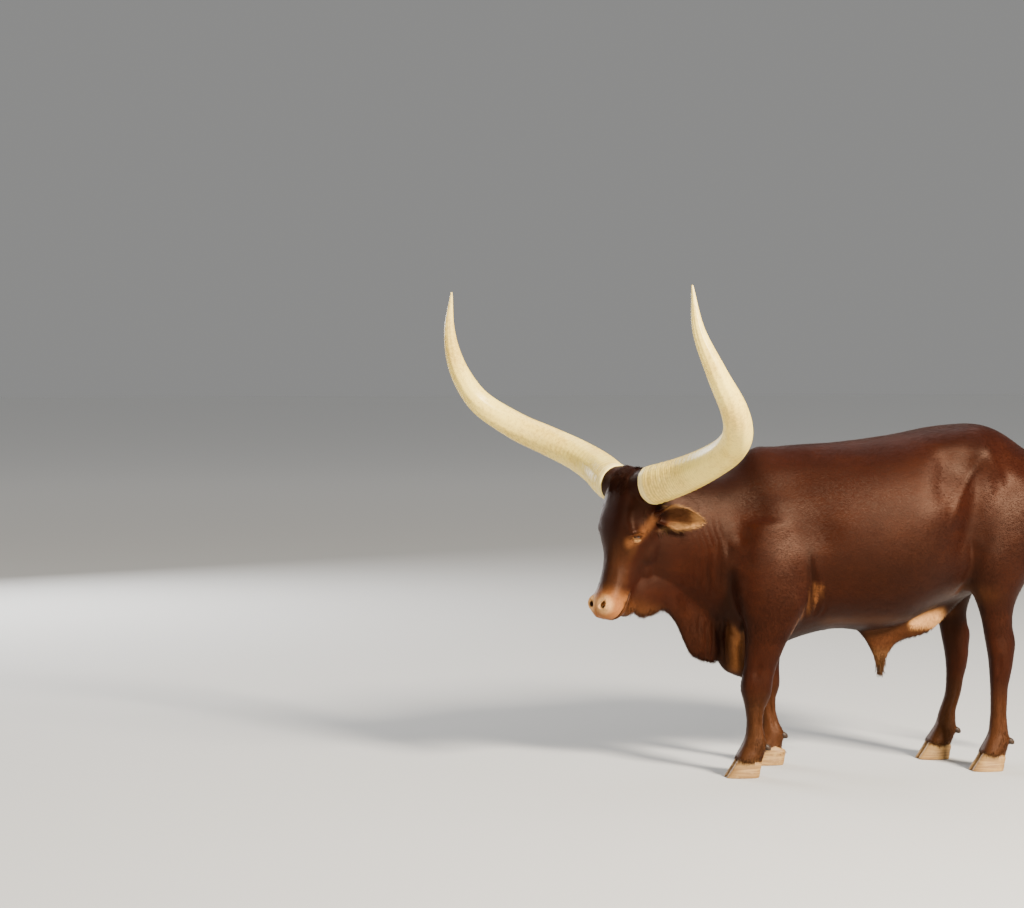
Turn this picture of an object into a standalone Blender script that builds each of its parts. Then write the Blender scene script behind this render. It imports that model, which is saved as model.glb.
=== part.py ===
"""A life-size Ankole-Watusi standing with its head turned to its left, as a museum model.

Metres, +Z up, the floor at z = 0. The head points to -X and the animal's left side faces -Y.
Body sizes are in the body's own frame, whose x = 0 and y = 0 are under the withers. The last
step moves everything by WITHERS_AT, which puts the origin in the middle of the footprint.
"""
import math

import bmesh
import bpy
import numpy as np
from mathutils import Matrix, Vector

# Where the withers stand in the finished frame
WITHERS_AT = (0.0309, 0.2357)

# Gap between nodes that touch, across a cut and round a seated piece
GAP = 0.0003
SEAT_GAP = 0.0004

# Grain of the flesh before it is thinned out, and the triangles then kept on it
GRAIN = 0.006
FLESH_FACES, FINE_SHARE, FINE_FACTOR = 7200, 0.6, 0.014

# A surface of fewer points than this that a cut leaves is a scrap
SCRAP = 30

# Rounds of smoothing on all the flesh, more of them behind the head, and more yet on the trunk
HEAD_ROUNDS, BODY_ROUNDS, TRUNK_ROUNDS = 5, 14, 80

# Head: the point midway between the horn bases, its turn to the left, and the slope of the face
HEAD_AT = (-0.644, -0.120, 1.248)
HEAD_YAW = math.radians(28.0)
FACE_PITCH = math.radians(74.0)

# Horn centreline as (out to the side, forward, up) from HEAD_AT, and the radius at each place
HORN_LINE = [(0.060, 0.010, -0.020), (0.134, 0.001, -0.004), (0.279, -0.043, 0.043), (0.428, -0.048, 0.098),
             (0.578, -0.009, 0.156), (0.719, 0.078, 0.226), (0.812, 0.189, 0.324), (0.828, 0.294, 0.464),
             (0.802, 0.364, 0.629), (0.775, 0.373, 0.802)]
HORN_RADII = [0.078, 0.083, 0.078, 0.071, 0.067, 0.062, 0.055, 0.043, 0.026, 0.004]

# Eye centre down the face, out to the side and out of the forehead
EYE_RADIUS = 0.0195
EYE_PLACE = (0.230, 0.096, 0.004)

# Lids: how far up or down each arches over the eye, and the thickness of its roll
LID_ARCHES = {"upper": math.radians(24), "lower": math.radians(-22)}
LID_CORNER = math.radians(72)
LID_ROLL = 0.0050

# Ear root in the same terms, its length, and the way it points and opens as (out, forward, up)
EAR_ROOT = (0.130, 0.102, -0.066)
EAR_LENGTH, EAR_SUNK = 0.225, 0.020
EAR_POINTS = (0.74, -0.64, 0.02)
EAR_OPENS = (0.62, 0.66, -0.42)

# Ear sections: (place along it, half width, depth of the cup, half angle of its wrap in degrees,
# thickness, droop)
EAR_SECTIONS = [(0.00, 0.024, 0.022, 165, 0.006, 0.000), (0.12, 0.028, 0.025, 160, 0.006, 0.000),
                (0.28, 0.042, 0.030, 122, 0.006, 0.001), (0.45, 0.055, 0.031, 96, 0.006, 0.003),
                (0.62, 0.056, 0.027, 86, 0.005, 0.006), (0.80, 0.042, 0.019, 82, 0.005, 0.011),
                (0.93, 0.019, 0.011, 80, 0.004, 0.015), (1.00, 0.008, 0.006, 78, 0.002, 0.018)]

# Each foot: sideways place, toe and heel of the sole
FEET = {"front_left": (-0.158, -0.256, -0.114), "front_right": (0.150, -0.062, 0.080),
        "hind_left": (-0.172, 0.822, 0.962), "hind_right": (0.175, 0.702, 0.842)}
CLAW_HIGH_TOE, CLAW_HIGH_HEEL = 0.086, 0.058
CLAW_SLOPE = math.radians(58)
CLAW_OUTER, CLAW_INNER, CLAW_GAP = 0.040, 0.017, 0.006

# Dewclaws: height of the root, how deep it is sunk and how far the tip stands out
DEWCLAW_HIGH, DEWCLAW_SUNK, DEWCLAW_OUT, DEWCLAW_APART = 0.128, 0.016, 0.013, 0.021

# Tail switch: top and tip, and its two tiers of locks as (count, root, length, most spread)
SWITCH_TOP, SWITCH_TIP = 0.640, 0.290
SWITCH_TIERS = [(6, 0.612, 0.235, 0.034), (6, 0.530, 0.228, 0.026)]
LOCK_WIDTH, LOCK_THICK = 0.017, 0.0060

X, Y, Z = np.eye(3)
FORWARD = np.array([-math.cos(HEAD_YAW), -math.sin(HEAD_YAW), 0.0])
LEFT = np.array([math.sin(HEAD_YAW), -math.cos(HEAD_YAW), 0.0])
DOWN_FACE = math.cos(FACE_PITCH) * FORWARD - math.sin(FACE_PITCH) * Z
OUT_OF_BROW = math.sin(FACE_PITCH) * FORWARD + math.cos(FACE_PITCH) * Z


def unit(vector):
    """The vector at length one."""
    vector = np.array(vector, float)
    return vector / np.linalg.norm(vector)


def on_head(along, out, raised):
    """A point from distances down the face, out to the left, and out of the forehead."""
    return np.array(HEAD_AT) + along * DOWN_FACE + out * LEFT + raised * OUT_OF_BROW


def from_head(out, forward, up, side=1):
    """A direction given as out to the side, forward and up, with side -1 for the animal's right."""
    return out * side * LEFT + forward * FORWARD + up * Z


def between(stations, count):
    """`count` even rows along `stations`, whose first column is the place, by cubic Hermite curves."""
    table = np.array(stations, float)
    place = table[:, 0]
    slope = np.gradient(table, place, axis=0)
    wanted = np.linspace(place[0], place[-1], count)
    left = np.clip(np.searchsorted(place, wanted, side="right") - 1, 0, len(place) - 2)
    width = (place[left + 1] - place[left])[:, None]
    t = (wanted - place[left])[:, None] / width
    rows = ((2 * t**3 - 3 * t**2 + 1) * table[left] + (t**3 - 2 * t**2 + t) * width * slope[left]
            + (3 * t**2 - 2 * t**3) * table[left + 1] + (t**3 - t**2) * width * slope[left + 1])
    rows[:, 0] = wanted
    return rows


def mesh_object(name, points, faces):
    """A mesh object from points and faces, turned to face outwards."""
    mesh = bpy.data.meshes.new(name)
    mesh.from_pydata([tuple(p) for p in points], [], faces)
    shape = bmesh.new()
    shape.from_mesh(mesh)
    bmesh.ops.recalc_face_normals(shape, faces=shape.faces)
    shape.to_mesh(mesh)
    shape.free()
    made = bpy.data.objects.new(name, mesh)
    bpy.context.scene.collection.objects.link(made)
    return made


def skin_rings(name, rings):
    """A closed tube through rings, [ring, point, xyz], with a flat cap at each end."""
    count, sides = rings.shape[:2]
    faces = [tuple(range(sides)), tuple((count - 1) * sides + i for i in range(sides))]
    for ring in range(count - 1):
        for i in range(sides):
            j = (i + 1) % sides
            faces.append((ring * sides + i, ring * sides + j, (ring + 1) * sides + j, (ring + 1) * sides + i))
    return mesh_object(name, rings.reshape(-1, 3), faces)


def slices(name, stations, along, side, up, origin=(0, 0, 0), count=40, sides=32):
    """A loft of slices square to `along`. A station is (place, sideways centre, lowest, widest, highest,
    half width, roundness below, roundness above); roundness 2 is an ellipse, less leaner, more boxier."""
    rows = between(stations, count)
    angle = np.linspace(0, 2 * math.pi, sides, endpoint=False)
    place, centre, low, wide, high, half, below, above = rows.T[:, :, None]
    cos, sin = np.cos(angle), np.sin(angle)
    power = 2 / np.where(sin > 0, above, below)
    outward = centre + half * np.sign(cos) * np.abs(cos) ** power
    reach = np.where(sin > 0, high - wide, wide - low)
    height = wide + reach * np.sign(sin) * np.abs(sin) ** power
    rings = (np.array(origin, float) + place[..., None] * along + outward[..., None] * side
             + height[..., None] * up)
    return skin_rings(name, rings)


def tube_rings(line, radii, count=20, sides=12):
    """Rings of a round tube along a smooth curve through the given points, with the radius given at each."""
    line = np.array(line, float)
    run = np.r_[0, np.cumsum(np.linalg.norm(np.diff(line, axis=0), axis=1))]
    rows = between(np.column_stack([run, line, radii]), count)
    centre, radius = rows[:, 1:4], rows[:, 4]
    tangent = np.gradient(centre, axis=0)
    tangent /= np.linalg.norm(tangent, axis=1)[:, None]
    side = np.cross(tangent[0], Z if abs(tangent[0][2]) < 0.9 else X)
    angle = np.linspace(0, 2 * math.pi, sides, endpoint=False)
    rings = []
    for middle, along, size in zip(centre, tangent, radius):
        side = unit(side - along * (side @ along))
        over = np.cross(along, side)
        rings.append(middle + size * (np.cos(angle)[:, None] * side + np.sin(angle)[:, None] * over))
    return np.array(rings)


def tube(name, line, radii, count=20, sides=12):
    """A closed round tube along a smooth curve through the given points."""
    return skin_rings(name, tube_rings(line, radii, count, sides))


def ellipsoid(name, centre, radii, axes=(X, Y, Z), segments=20):
    """An ellipsoid with its radii along three given axes."""
    mesh = bpy.data.meshes.new(name)
    shape = bmesh.new()
    bmesh.ops.create_uvsphere(shape, u_segments=segments, v_segments=segments // 2 + 2, radius=1.0)
    turn = Matrix([[axes[c][r] * radii[c] for c in range(3)] for r in range(3)]).to_4x4()
    bmesh.ops.transform(shape, matrix=Matrix.Translation(Vector(centre)) @ turn, verts=shape.verts)
    bmesh.ops.recalc_face_normals(shape, faces=shape.faces)
    shape.to_mesh(mesh)
    shape.free()
    made = bpy.data.objects.new(name, mesh)
    bpy.context.scene.collection.objects.link(made)
    return made


def discard(thing):
    """Remove an object that was only a step on the way."""
    bpy.data.objects.remove(thing)


def settle(thing):
    """Apply an object's modifiers to its mesh."""
    graph = bpy.context.evaluated_depsgraph_get()
    mesh = bpy.data.meshes.new_from_object(thing.evaluated_get(graph))
    thing.modifiers.clear()
    thing.data = mesh
    return thing


def combined(name, pieces):
    """One object that holds the meshes of all the pieces."""
    shape = bmesh.new()
    for piece in pieces:
        shape.from_mesh(piece.data)
        discard(piece)
    mesh = bpy.data.meshes.new(name)
    shape.to_mesh(mesh)
    shape.free()
    made = bpy.data.objects.new(name, mesh)
    bpy.context.scene.collection.objects.link(made)
    return made


def without(thing, cutter, solver="MANIFOLD"):
    """Cut one object's shape out of another, and drop the cutter."""
    cut = thing.modifiers.new("Cut", "BOOLEAN")
    cut.operation = "DIFFERENCE"
    cut.solver = solver
    cut.object = cutter
    settle(thing)
    discard(cutter)
    return thing


def seat(flesh, piece):
    """Hollow the seat of a piece out of the flesh that carries it, a gap larger all round."""
    shape = bmesh.new()
    shape.from_mesh(piece.data)
    bmesh.ops.triangulate(shape, faces=shape.faces)
    shape.to_mesh(piece.data)
    mesh = piece.data.copy()
    shape.normal_update()
    moves = [vert.normal * SEAT_GAP * vert.calc_shell_factor() for vert in shape.verts]
    for vert, move in zip(shape.verts, moves):
        vert.co += move
    shape.to_mesh(mesh)
    shape.free()
    cutter = bpy.data.objects.new("cutter", mesh)
    bpy.context.scene.collection.objects.link(cutter)
    without(flesh, cutter)
    return piece


def joined(whole, pieces, solver="EXACT"):
    """Unite closed pieces with a closed object by one Boolean, and drop the pieces."""
    group = bpy.data.collections.new("pieces")
    for piece in pieces:
        group.objects.link(piece)
    union = whole.modifiers.new("Union", "BOOLEAN")
    union.operation = "UNION"
    union.operand_type = "COLLECTION"
    union.solver = solver
    union.collection = group
    settle(whole)
    for piece in pieces:
        discard(piece)
    bpy.data.collections.remove(group)
    return whole


def loose_parts(thing):
    """The vertex sets of an object's separate surfaces."""
    shape = bmesh.new()
    shape.from_mesh(thing.data)
    shape.verts.ensure_lookup_table()
    waiting = set(range(len(shape.verts)))
    parts = []
    while waiting:
        edge = [waiting.pop()]
        part = set(edge)
        while edge:
            for link in shape.verts[edge.pop()].link_edges:
                for vert in link.verts:
                    if vert.index in waiting:
                        waiting.discard(vert.index)
                        part.add(vert.index)
                        edge.append(vert.index)
        parts.append(part)
    shape.free()
    return parts


def kept(thing, verts, name):
    """A new object that holds only the given vertices of another."""
    shape = bmesh.new()
    shape.from_mesh(thing.data)
    bmesh.ops.delete(shape, geom=[v for v in shape.verts if v.index not in verts], context="VERTS")
    mesh = bpy.data.meshes.new(name)
    shape.to_mesh(mesh)
    shape.free()
    made = bpy.data.objects.new(name, mesh)
    bpy.context.scene.collection.objects.link(made)
    return made


def largest(thing):
    """Keep only the largest closed surface of an object."""
    parts = loose_parts(thing)
    if len(parts) > 1:
        whole = kept(thing, max(parts, key=len), thing.name)
        thing.data = whole.data
        discard(whole)
    return thing


def plate(centre, normal, across, half_across, half_down, thickness=GAP):
    """A thin plate for parting the flesh: its normal, a direction across it, and its half sizes."""
    normal = unit(normal)
    across = unit(np.array(across, float) - normal * (np.array(across, float) @ normal))
    down = np.cross(normal, across)
    corners = [np.array(centre, float) + n * normal * thickness / 2 + a * across * half_across
               + d * down * half_down for n in (-1, 1) for a in (-1, 1) for d in (-1, 1)]
    sides = [(0, 1, 3, 2), (4, 5, 7, 6), (0, 1, 5, 4), (2, 3, 7, 6), (0, 2, 6, 4), (1, 3, 7, 5)]
    return mesh_object("plate", corners, sides)


def part_off(whole, name, centre, normal, across, half_across, half_down):
    """Cut `whole` with a plate and return (the part on the side that `normal` points to, the rest)."""
    normal = unit(normal)
    without(whole, plate(centre, normal, across, half_across, half_down))
    parts = [p for p in loose_parts(whole) if len(p) > SCRAP]
    points = points_of(whole)[0]
    side = [np.mean((points[list(p)] - centre) @ normal) for p in parts]
    near = [np.linalg.norm(points[list(p)] - centre, axis=1).min() for p in parts]
    ahead = min((i for i in range(len(parts)) if side[i] > 0), key=lambda i: near[i])
    off = kept(whole, parts[ahead], name)
    others = set().union(*(parts[i] for i in range(len(parts)) if i != ahead))
    rest = kept(whole, others, whole.name)
    discard(whole)
    return off, rest


def thinned(thing, faces, kept_fine):
    """Bring an object down to about this many triangles, with more of them where `kept_fine` nears one."""
    group = thing.vertex_groups.new(name="coarse")
    for index, weight in enumerate(kept_fine):
        group.add([index], 1.0 - FINE_SHARE * float(weight), "REPLACE")
    thin = thing.modifiers.new("Thin", "DECIMATE")
    thin.vertex_group = group.name
    thin.vertex_group_factor = FINE_FACTOR
    thin.ratio = faces / sum(len(p.vertices) - 2 for p in thing.data.polygons)
    thin.use_collapse_triangulate = True
    return settle(thing)


# Form of the flesh


def torso_form():
    """Barrel, withers, loin and rump."""
    stations = [
        (-0.280, 0, 0.600, 0.860, 1.120, 0.100, 2.0, 2.0), (-0.200, 0, 0.560, 0.880, 1.270, 0.165, 2.0, 1.8),
        (-0.130, 0, 0.530, 0.900, 1.372, 0.200, 2.0, 1.6), (0.000, 0, 0.535, 0.920, 1.396, 0.232, 2.0, 1.5),
        (0.110, 0, 0.575, 0.940, 1.403, 0.258, 2.1, 1.6), (0.250, 0, 0.604, 0.950, 1.409, 0.285, 2.1, 1.75),
        (0.400, 0, 0.596, 0.960, 1.424, 0.305, 2.1, 1.85), (0.550, 0, 0.618, 0.980, 1.446, 0.310, 2.1, 1.95),
        (0.680, 0, 0.680, 1.010, 1.471, 0.292, 2.1, 2.15), (0.800, 0, 0.722, 1.060, 1.482, 0.252, 2.1, 2.7),
        (0.880, 0, 0.742, 1.100, 1.485, 0.236, 2.1, 2.9), (1.000, 0, 0.760, 1.100, 1.450, 0.212, 2.1, 2.3),
        (1.090, 0, 0.790, 1.100, 1.392, 0.185, 2.1, 2.0), (1.165, 0, 0.850, 1.100, 1.340, 0.140, 2.1, 2.0),
        (1.222, 0, 0.950, 1.120, 1.262, 0.080, 2.1, 2.0)]
    return slices("torso form", stations, X, Y, Z, count=60, sides=48)


def neck_form():
    """The neck's own muscle, from behind the jaw to the shoulders."""
    stations = [
        (-0.64, -0.12, 0.88, 1.06, 1.25, 0.07, 2, 2), (-0.57, -0.095, 0.81, 1.04, 1.278, 0.098, 1.8, 2.2),
        (-0.48, -0.068, 0.77, 1.02, 1.272, 0.11, 1.7, 2.2), (-0.4, -0.045, 0.725, 1, 1.262, 0.126, 1.6, 2.1),
        (-0.32, -0.024, 0.665, 0.97, 1.262, 0.15, 1.6, 1.9), (-0.24, -0.01, 0.61, 0.94, 1.28, 0.184, 1.8, 1.8),
        (-0.16, 0, 0.56, 0.92, 1.332, 0.206, 1.9, 1.6), (-0.08, 0, 0.56, 0.92, 1.38, 0.2, 1.8, 1.6)]
    return slices("neck form", stations, X, Y, Z, count=40, sides=36)


def dewlap_form():
    """The hanging fold from the chin down to the front of the chest."""
    stations = [
        (-0.69, -0.162, 0.752, 0.82, 0.9, 0.028, 2, 2), (-0.655, -0.15, 0.706, 0.8, 0.9, 0.036, 2, 2),
        (-0.617, -0.138, 0.684, 0.79, 0.9, 0.042, 2, 2), (-0.565, -0.116, 0.69, 0.8, 0.9, 0.044, 2, 2),
        (-0.508, -0.096, 0.702, 0.81, 0.9, 0.04, 2, 2), (-0.467, -0.084, 0.668, 0.79, 0.9, 0.034, 2, 2),
        (-0.438, -0.074, 0.618, 0.76, 0.88, 0.03, 2, 2), (-0.412, -0.064, 0.557, 0.73, 0.87, 0.027, 2, 2),
        (-0.385, -0.054, 0.51, 0.7, 0.85, 0.027, 2, 2), (-0.35, -0.044, 0.486, 0.68, 0.84, 0.03, 2, 2),
        (-0.307, -0.028, 0.474, 0.66, 0.82, 0.034, 2, 2), (-0.262, -0.012, 0.463, 0.64, 0.8, 0.038, 2, 2)]
    return slices("dewlap form", stations, X, Y, Z, count=44, sides=28)


def brisket_form():
    """The thicker lobe of the brisket, between and before the forelegs."""
    stations = [
        (-0.262, 0, 0.500, 0.620, 0.780, 0.030, 2, 2), (-0.235, 0, 0.447, 0.600, 0.780, 0.048, 2, 2),
        (-0.190, 0, 0.416, 0.590, 0.760, 0.062, 2, 2), (-0.135, 0, 0.400, 0.580, 0.740, 0.066, 2, 2),
        (-0.085, 0, 0.440, 0.580, 0.720, 0.062, 2, 2), (-0.030, 0, 0.520, 0.600, 0.720, 0.050, 2, 2)]
    return slices("brisket form", stations, X, Y, Z, count=24, sides=28)


def sheath_form():
    """The pendulous sheath, a thin triangular fold under the belly."""
    stations = [
        (0.345, 0, 0.605, 0.640, 0.690, 0.016, 2, 2), (0.385, 0, 0.572, 0.640, 0.700, 0.022, 2, 2),
        (0.412, 0, 0.535, 0.640, 0.700, 0.025, 2, 2), (0.436, 0, 0.488, 0.640, 0.710, 0.026, 2, 2),
        (0.458, 0, 0.440, 0.640, 0.720, 0.025, 2, 2), (0.480, 0, 0.438, 0.640, 0.720, 0.025, 2, 2),
        (0.506, 0, 0.470, 0.640, 0.720, 0.026, 2, 2), (0.530, 0, 0.512, 0.645, 0.720, 0.028, 2, 2),
        (0.580, 0, 0.545, 0.660, 0.740, 0.030, 2, 2), (0.640, 0, 0.558, 0.690, 0.760, 0.030, 2, 2),
        (0.720, 0, 0.597, 0.710, 0.780, 0.028, 2, 2), (0.800, 0, 0.672, 0.730, 0.790, 0.024, 2, 2),
        (0.870, 0, 0.725, 0.750, 0.790, 0.014, 2, 2)]
    return slices("sheath form", stations, X, Y, Z, count=44, sides=24)


def head_form():
    """Skull, cheeks and muzzle, down the face from the poll."""
    stations = [
        (-0.062, 0, -0.05, -0.01, 0.03, 0.045, 2.2, 2.2), (-0.035, 0, -0.085, -0.01, 0.058, 0.085, 2.2, 2.4),
        (0, 0, -0.115, -0.015, 0.074, 0.106, 2.2, 2.8), (0.05, 0, -0.14, -0.02, 0.083, 0.112, 2.2, 3),
        (0.11, 0, -0.16, -0.02, 0.088, 0.112, 2.2, 3), (0.17, 0, -0.172, -0.015, 0.086, 0.116, 2.3, 3),
        (0.22, 0, -0.18, -0.02, 0.078, 0.112, 2.4, 2.8), (0.27, 0, -0.178, -0.03, 0.066, 0.1, 2.5, 2.6),
        (0.315, 0, -0.165, -0.035, 0.055, 0.084, 2.5, 2.5), (0.37, 0, -0.142, -0.035, 0.046, 0.07, 2.4, 2.5),
        (0.42, 0, -0.124, -0.03, 0.042, 0.063, 2.4, 2.5), (0.47, 0, -0.108, -0.02, 0.048, 0.065, 2.4, 2.5),
        (0.515, 0, -0.092, -0.01, 0.06, 0.07, 2.4, 2.6), (0.55, 0, -0.074, -0.005, 0.059, 0.066, 2.4, 2.6),
        (0.576, 0, -0.050, 0.000, 0.044, 0.050, 2.2, 2.4), (0.588, 0, -0.032, 0.002, 0.030, 0.034, 2.2, 2.4)]
    return slices("head form", stations, DOWN_FACE, LEFT, OUT_OF_BROW, HEAD_AT, count=60, sides=40)


def head_swellings(side):
    """Brow, cheek muscle, chin and horn boss on one side of the head."""
    axes = (LEFT, DOWN_FACE, OUT_OF_BROW)
    along, out, raised = EYE_PLACE
    return [
        ellipsoid("boss", on_head(-0.005, 0.088 * side, -0.012), (0.055, 0.066, 0.066), axes),
        ellipsoid("brow", on_head(along - 0.030, (out - 0.012) * side, raised + 0.026),
                  (0.032, 0.040, 0.034), axes),
        ellipsoid("orbit", on_head(along, (out - 0.014) * side, raised - 0.002), (0.034, 0.038, 0.038), axes),
        ellipsoid("cheek", on_head(0.235, 0.068 * side, -0.098), (0.040, 0.095, 0.072), axes),
        ellipsoid("jaw", on_head(0.315, 0.042 * side, -0.120), (0.036, 0.080, 0.050), axes),
        ellipsoid("nostril wing", on_head(0.528, 0.044 * side, 0.034), (0.030, 0.036, 0.028), axes),
        ellipsoid("lip", on_head(0.520, 0.044 * side, -0.014), (0.028, 0.050, 0.032), axes),
        ellipsoid("chin", on_head(0.520, 0.020 * side, -0.082), (0.040, 0.040, 0.034), axes)]


FRONT_LEG = [
    (1.08, -0.165, -0.18, -0.06, 0.06, 0.05, 2, 2), (0.98, -0.178, -0.225, -0.07, 0.095, 0.062, 2, 2),
    (0.88, -0.185, -0.236, -0.07, 0.11, 0.072, 2, 2), (0.78, -0.188, -0.23, -0.07, 0.095, 0.078, 2, 2.2),
    (0.7, -0.186, -0.208, -0.07, 0.072, 0.074, 2, 2.2), (0.64, -0.182, -0.19, -0.08, 0.046, 0.066, 2, 2.2),
    (0.57, -0.178, -0.178, -0.085, 0.006, 0.056, 2.1, 2.1),
    (0.5, -0.174, -0.178, -0.095, -0.024, 0.049, 2.2, 2.2),
    (0.45, -0.17, -0.182, -0.11, -0.042, 0.047, 2.4, 2.3),
    (0.41, -0.168, -0.188, -0.12, -0.052, 0.05, 2.6, 2.5),
    (0.37, -0.166, -0.19, -0.122, -0.056, 0.05, 2.6, 2.5),
    (0.335, -0.164, -0.184, -0.122, -0.062, 0.046, 2.5, 2.5),
    (0.3, -0.162, -0.174, -0.125, -0.08, 0.037, 2.3, 2.3),
    (0.26, -0.161, -0.168, -0.128, -0.09, 0.034, 2.2, 2.3),
    (0.205, -0.16, -0.165, -0.128, -0.09, 0.034, 2.2, 2.3),
    (0.17, -0.159, -0.17, -0.128, -0.084, 0.038, 2.2, 2.3),
    (0.135, -0.158, -0.183, -0.13, -0.074, 0.045, 2.4, 2.4),
    (0.108, -0.158, -0.199, -0.145, -0.081, 0.048, 2.4, 2.4),
    (0.086, -0.158, -0.21, -0.165, -0.092, 0.056, 2.4, 2.4),
    (0.05, -0.158, -0.206, -0.175, -0.108, 0.049, 2.4, 2.4)]

# The right foreleg stands this much further back, less up at the shoulder
FRONT_RIGHT_BACK = [(1.08, 0), (0.85, 0.03), (0.6, 0.09), (0.4, 0.126), (0.2, 0.152), (0.036, 0.182)]

HIND_LEG = [
    (1.28, -0.13, 0.83, 0.96, 1.13, 0.07, 2, 2), (1.16, -0.15, 0.8, 0.96, 1.212, 0.09, 2, 2),
    (1.06, -0.16, 0.785, 0.95, 1.215, 0.1, 2, 2), (0.96, -0.166, 0.778, 0.94, 1.178, 0.1, 2, 2),
    (0.88, -0.168, 0.782, 0.93, 1.12, 0.092, 2, 2), (0.81, -0.168, 0.8, 0.93, 1.07, 0.08, 2, 2),
    (0.75, -0.168, 0.83, 0.93, 1.036, 0.068, 2, 2), (0.7, -0.168, 0.852, 0.935, 1.018, 0.058, 2.1, 2),
    (0.65, -0.169, 0.868, 0.94, 1.01, 0.049, 2.2, 2), (0.6, -0.17, 0.879, 0.945, 1.012, 0.044, 2.3, 2),
    (0.55, -0.17, 0.888, 0.95, 1.026, 0.043, 2.4, 2), (0.51, -0.171, 0.896, 0.955, 1.02, 0.044, 2.4, 2),
    (0.46, -0.171, 0.903, 0.957, 1.013, 0.043, 2.4, 2.2),
    (0.41, -0.172, 0.906, 0.955, 1.004, 0.038, 2.4, 2.2),
    (0.36, -0.172, 0.909, 0.95, 0.993, 0.034, 2.3, 2.2), (0.3, -0.172, 0.911, 0.95, 0.988, 0.032, 2.2, 2.2),
    (0.2, -0.172, 0.908, 0.948, 0.988, 0.032, 2.2, 2.2), (0.16, -0.172, 0.903, 0.945, 0.992, 0.036, 2.2, 2.2),
    (0.13, -0.172, 0.89, 0.94, 1, 0.043, 2.4, 2.4), (0.108, -0.172, 0.878, 0.925, 0.993, 0.047, 2.4, 2.4),
    (0.086, -0.172, 0.868, 0.91, 0.984, 0.055, 2.4, 2.4),
    (0.05, -0.172, 0.872, 0.902, 0.968, 0.048, 2.4, 2.4)]

# The right hind leg swings forward below the thigh by this much
HIND_RIGHT_FORWARD = [(1.280, 0.0), (1.000, -0.035), (0.800, -0.066), (0.650, -0.082), (0.500, -0.078),
                      (0.400, -0.072), (0.300, -0.080), (0.200, -0.108), (0.036, -0.126)]

# Each leg's stations, and how far back it is moved by height
LEGS = {"front_left": (FRONT_LEG, None), "front_right": (FRONT_LEG, FRONT_RIGHT_BACK),
        "hind_left": (HIND_LEG, None), "hind_right": (HIND_LEG, HIND_RIGHT_FORWARD)}


def leg_table(foot):
    """A leg's stations by height. The right legs mirror the left ones and are moved by LEGS."""
    stations, shift = LEGS[foot]
    table = np.array(stations, float)
    if shift is not None:
        table[:, 1] *= -1
        heights, moves = np.array(shift)[::-1].T
        table[:, 2:5] += np.interp(table[:, 0], heights, moves)[:, None]
    return table[::-1]


def leg_form(foot):
    """One leg from its stations."""
    return slices(foot, leg_table(foot), Z, Y, X, count=70, sides=24)


def haunch_swellings(side):
    """Pin bone, hock point, shoulder and upper arm on one side."""
    return [
        ellipsoid("pin bone", (1.190, 0.088 * side, 1.185), (0.050, 0.040, 0.055)),
        ellipsoid("hock point", (0.920 if side > 0 else 1.000, 0.172 * side, 0.545), (0.026, 0.022, 0.050)),
        ellipsoid("shoulder point", (-0.150, 0.146 * side, 0.920), (0.085, 0.062, 0.120)),
        ellipsoid("upper arm", (-0.010, 0.180 * side, 0.900), (0.140, 0.070, 0.150))]


# Hollows and swellings pressed into the smooth flesh: (place, radius, rise), rise negative for a hollow.
# y is given for the left side and mirrored.
RELIEF = [
    ((0.862, -0.215, 1.365), 0.050, 0.022), ((0.745, -0.245, 1.300), 0.085, -0.020),
    ((0.945, -0.225, 1.245), 0.065, -0.016), ((1.060, -0.200, 1.290), 0.060, -0.008),
    ((0.860, -0.262, 0.900), 0.080, 0.010), ((0.740, -0.280, 0.980), 0.090, -0.014),
    ((0.130, -0.262, 1.020), 0.080, -0.012), ((-0.230, -0.205, 0.900), 0.060, 0.010),
    ((0.040, -0.240, 0.735), 0.050, 0.010), ((-0.220, -0.190, 1.120), 0.060, -0.012),
    ((-0.020, -0.250, 0.900), 0.090, 0.010), ((-0.040, -0.190, 1.130), 0.090, 0.018),
    ((-0.020, -0.130, 1.290), 0.070, 0.010), ((-0.205, -0.205, 1.020), 0.040, -0.016),
    ((-0.200, -0.205, 0.930), 0.038, -0.016), ((-0.192, -0.195, 0.840), 0.036, -0.018),
    ((-0.180, -0.180, 0.750), 0.034, -0.018), ((-0.168, -0.160, 0.660), 0.034, -0.014),
    ((0.300, -0.200, 1.370), 0.080, -0.006), ((0.600, -0.300, 1.120), 0.100, 0.008)]


def press_relief(points, normals):
    """Move skin points along their normals by the relief of the body."""
    move = np.zeros(len(points))
    for place, radius, rise in RELIEF:
        for side in (1, -1):
            distance = np.linalg.norm(points - np.array(place) * (1, side, 1), axis=1)
            move += rise * np.exp(-(distance / radius) ** 2)
    return points + normals * move[:, None]


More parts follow.
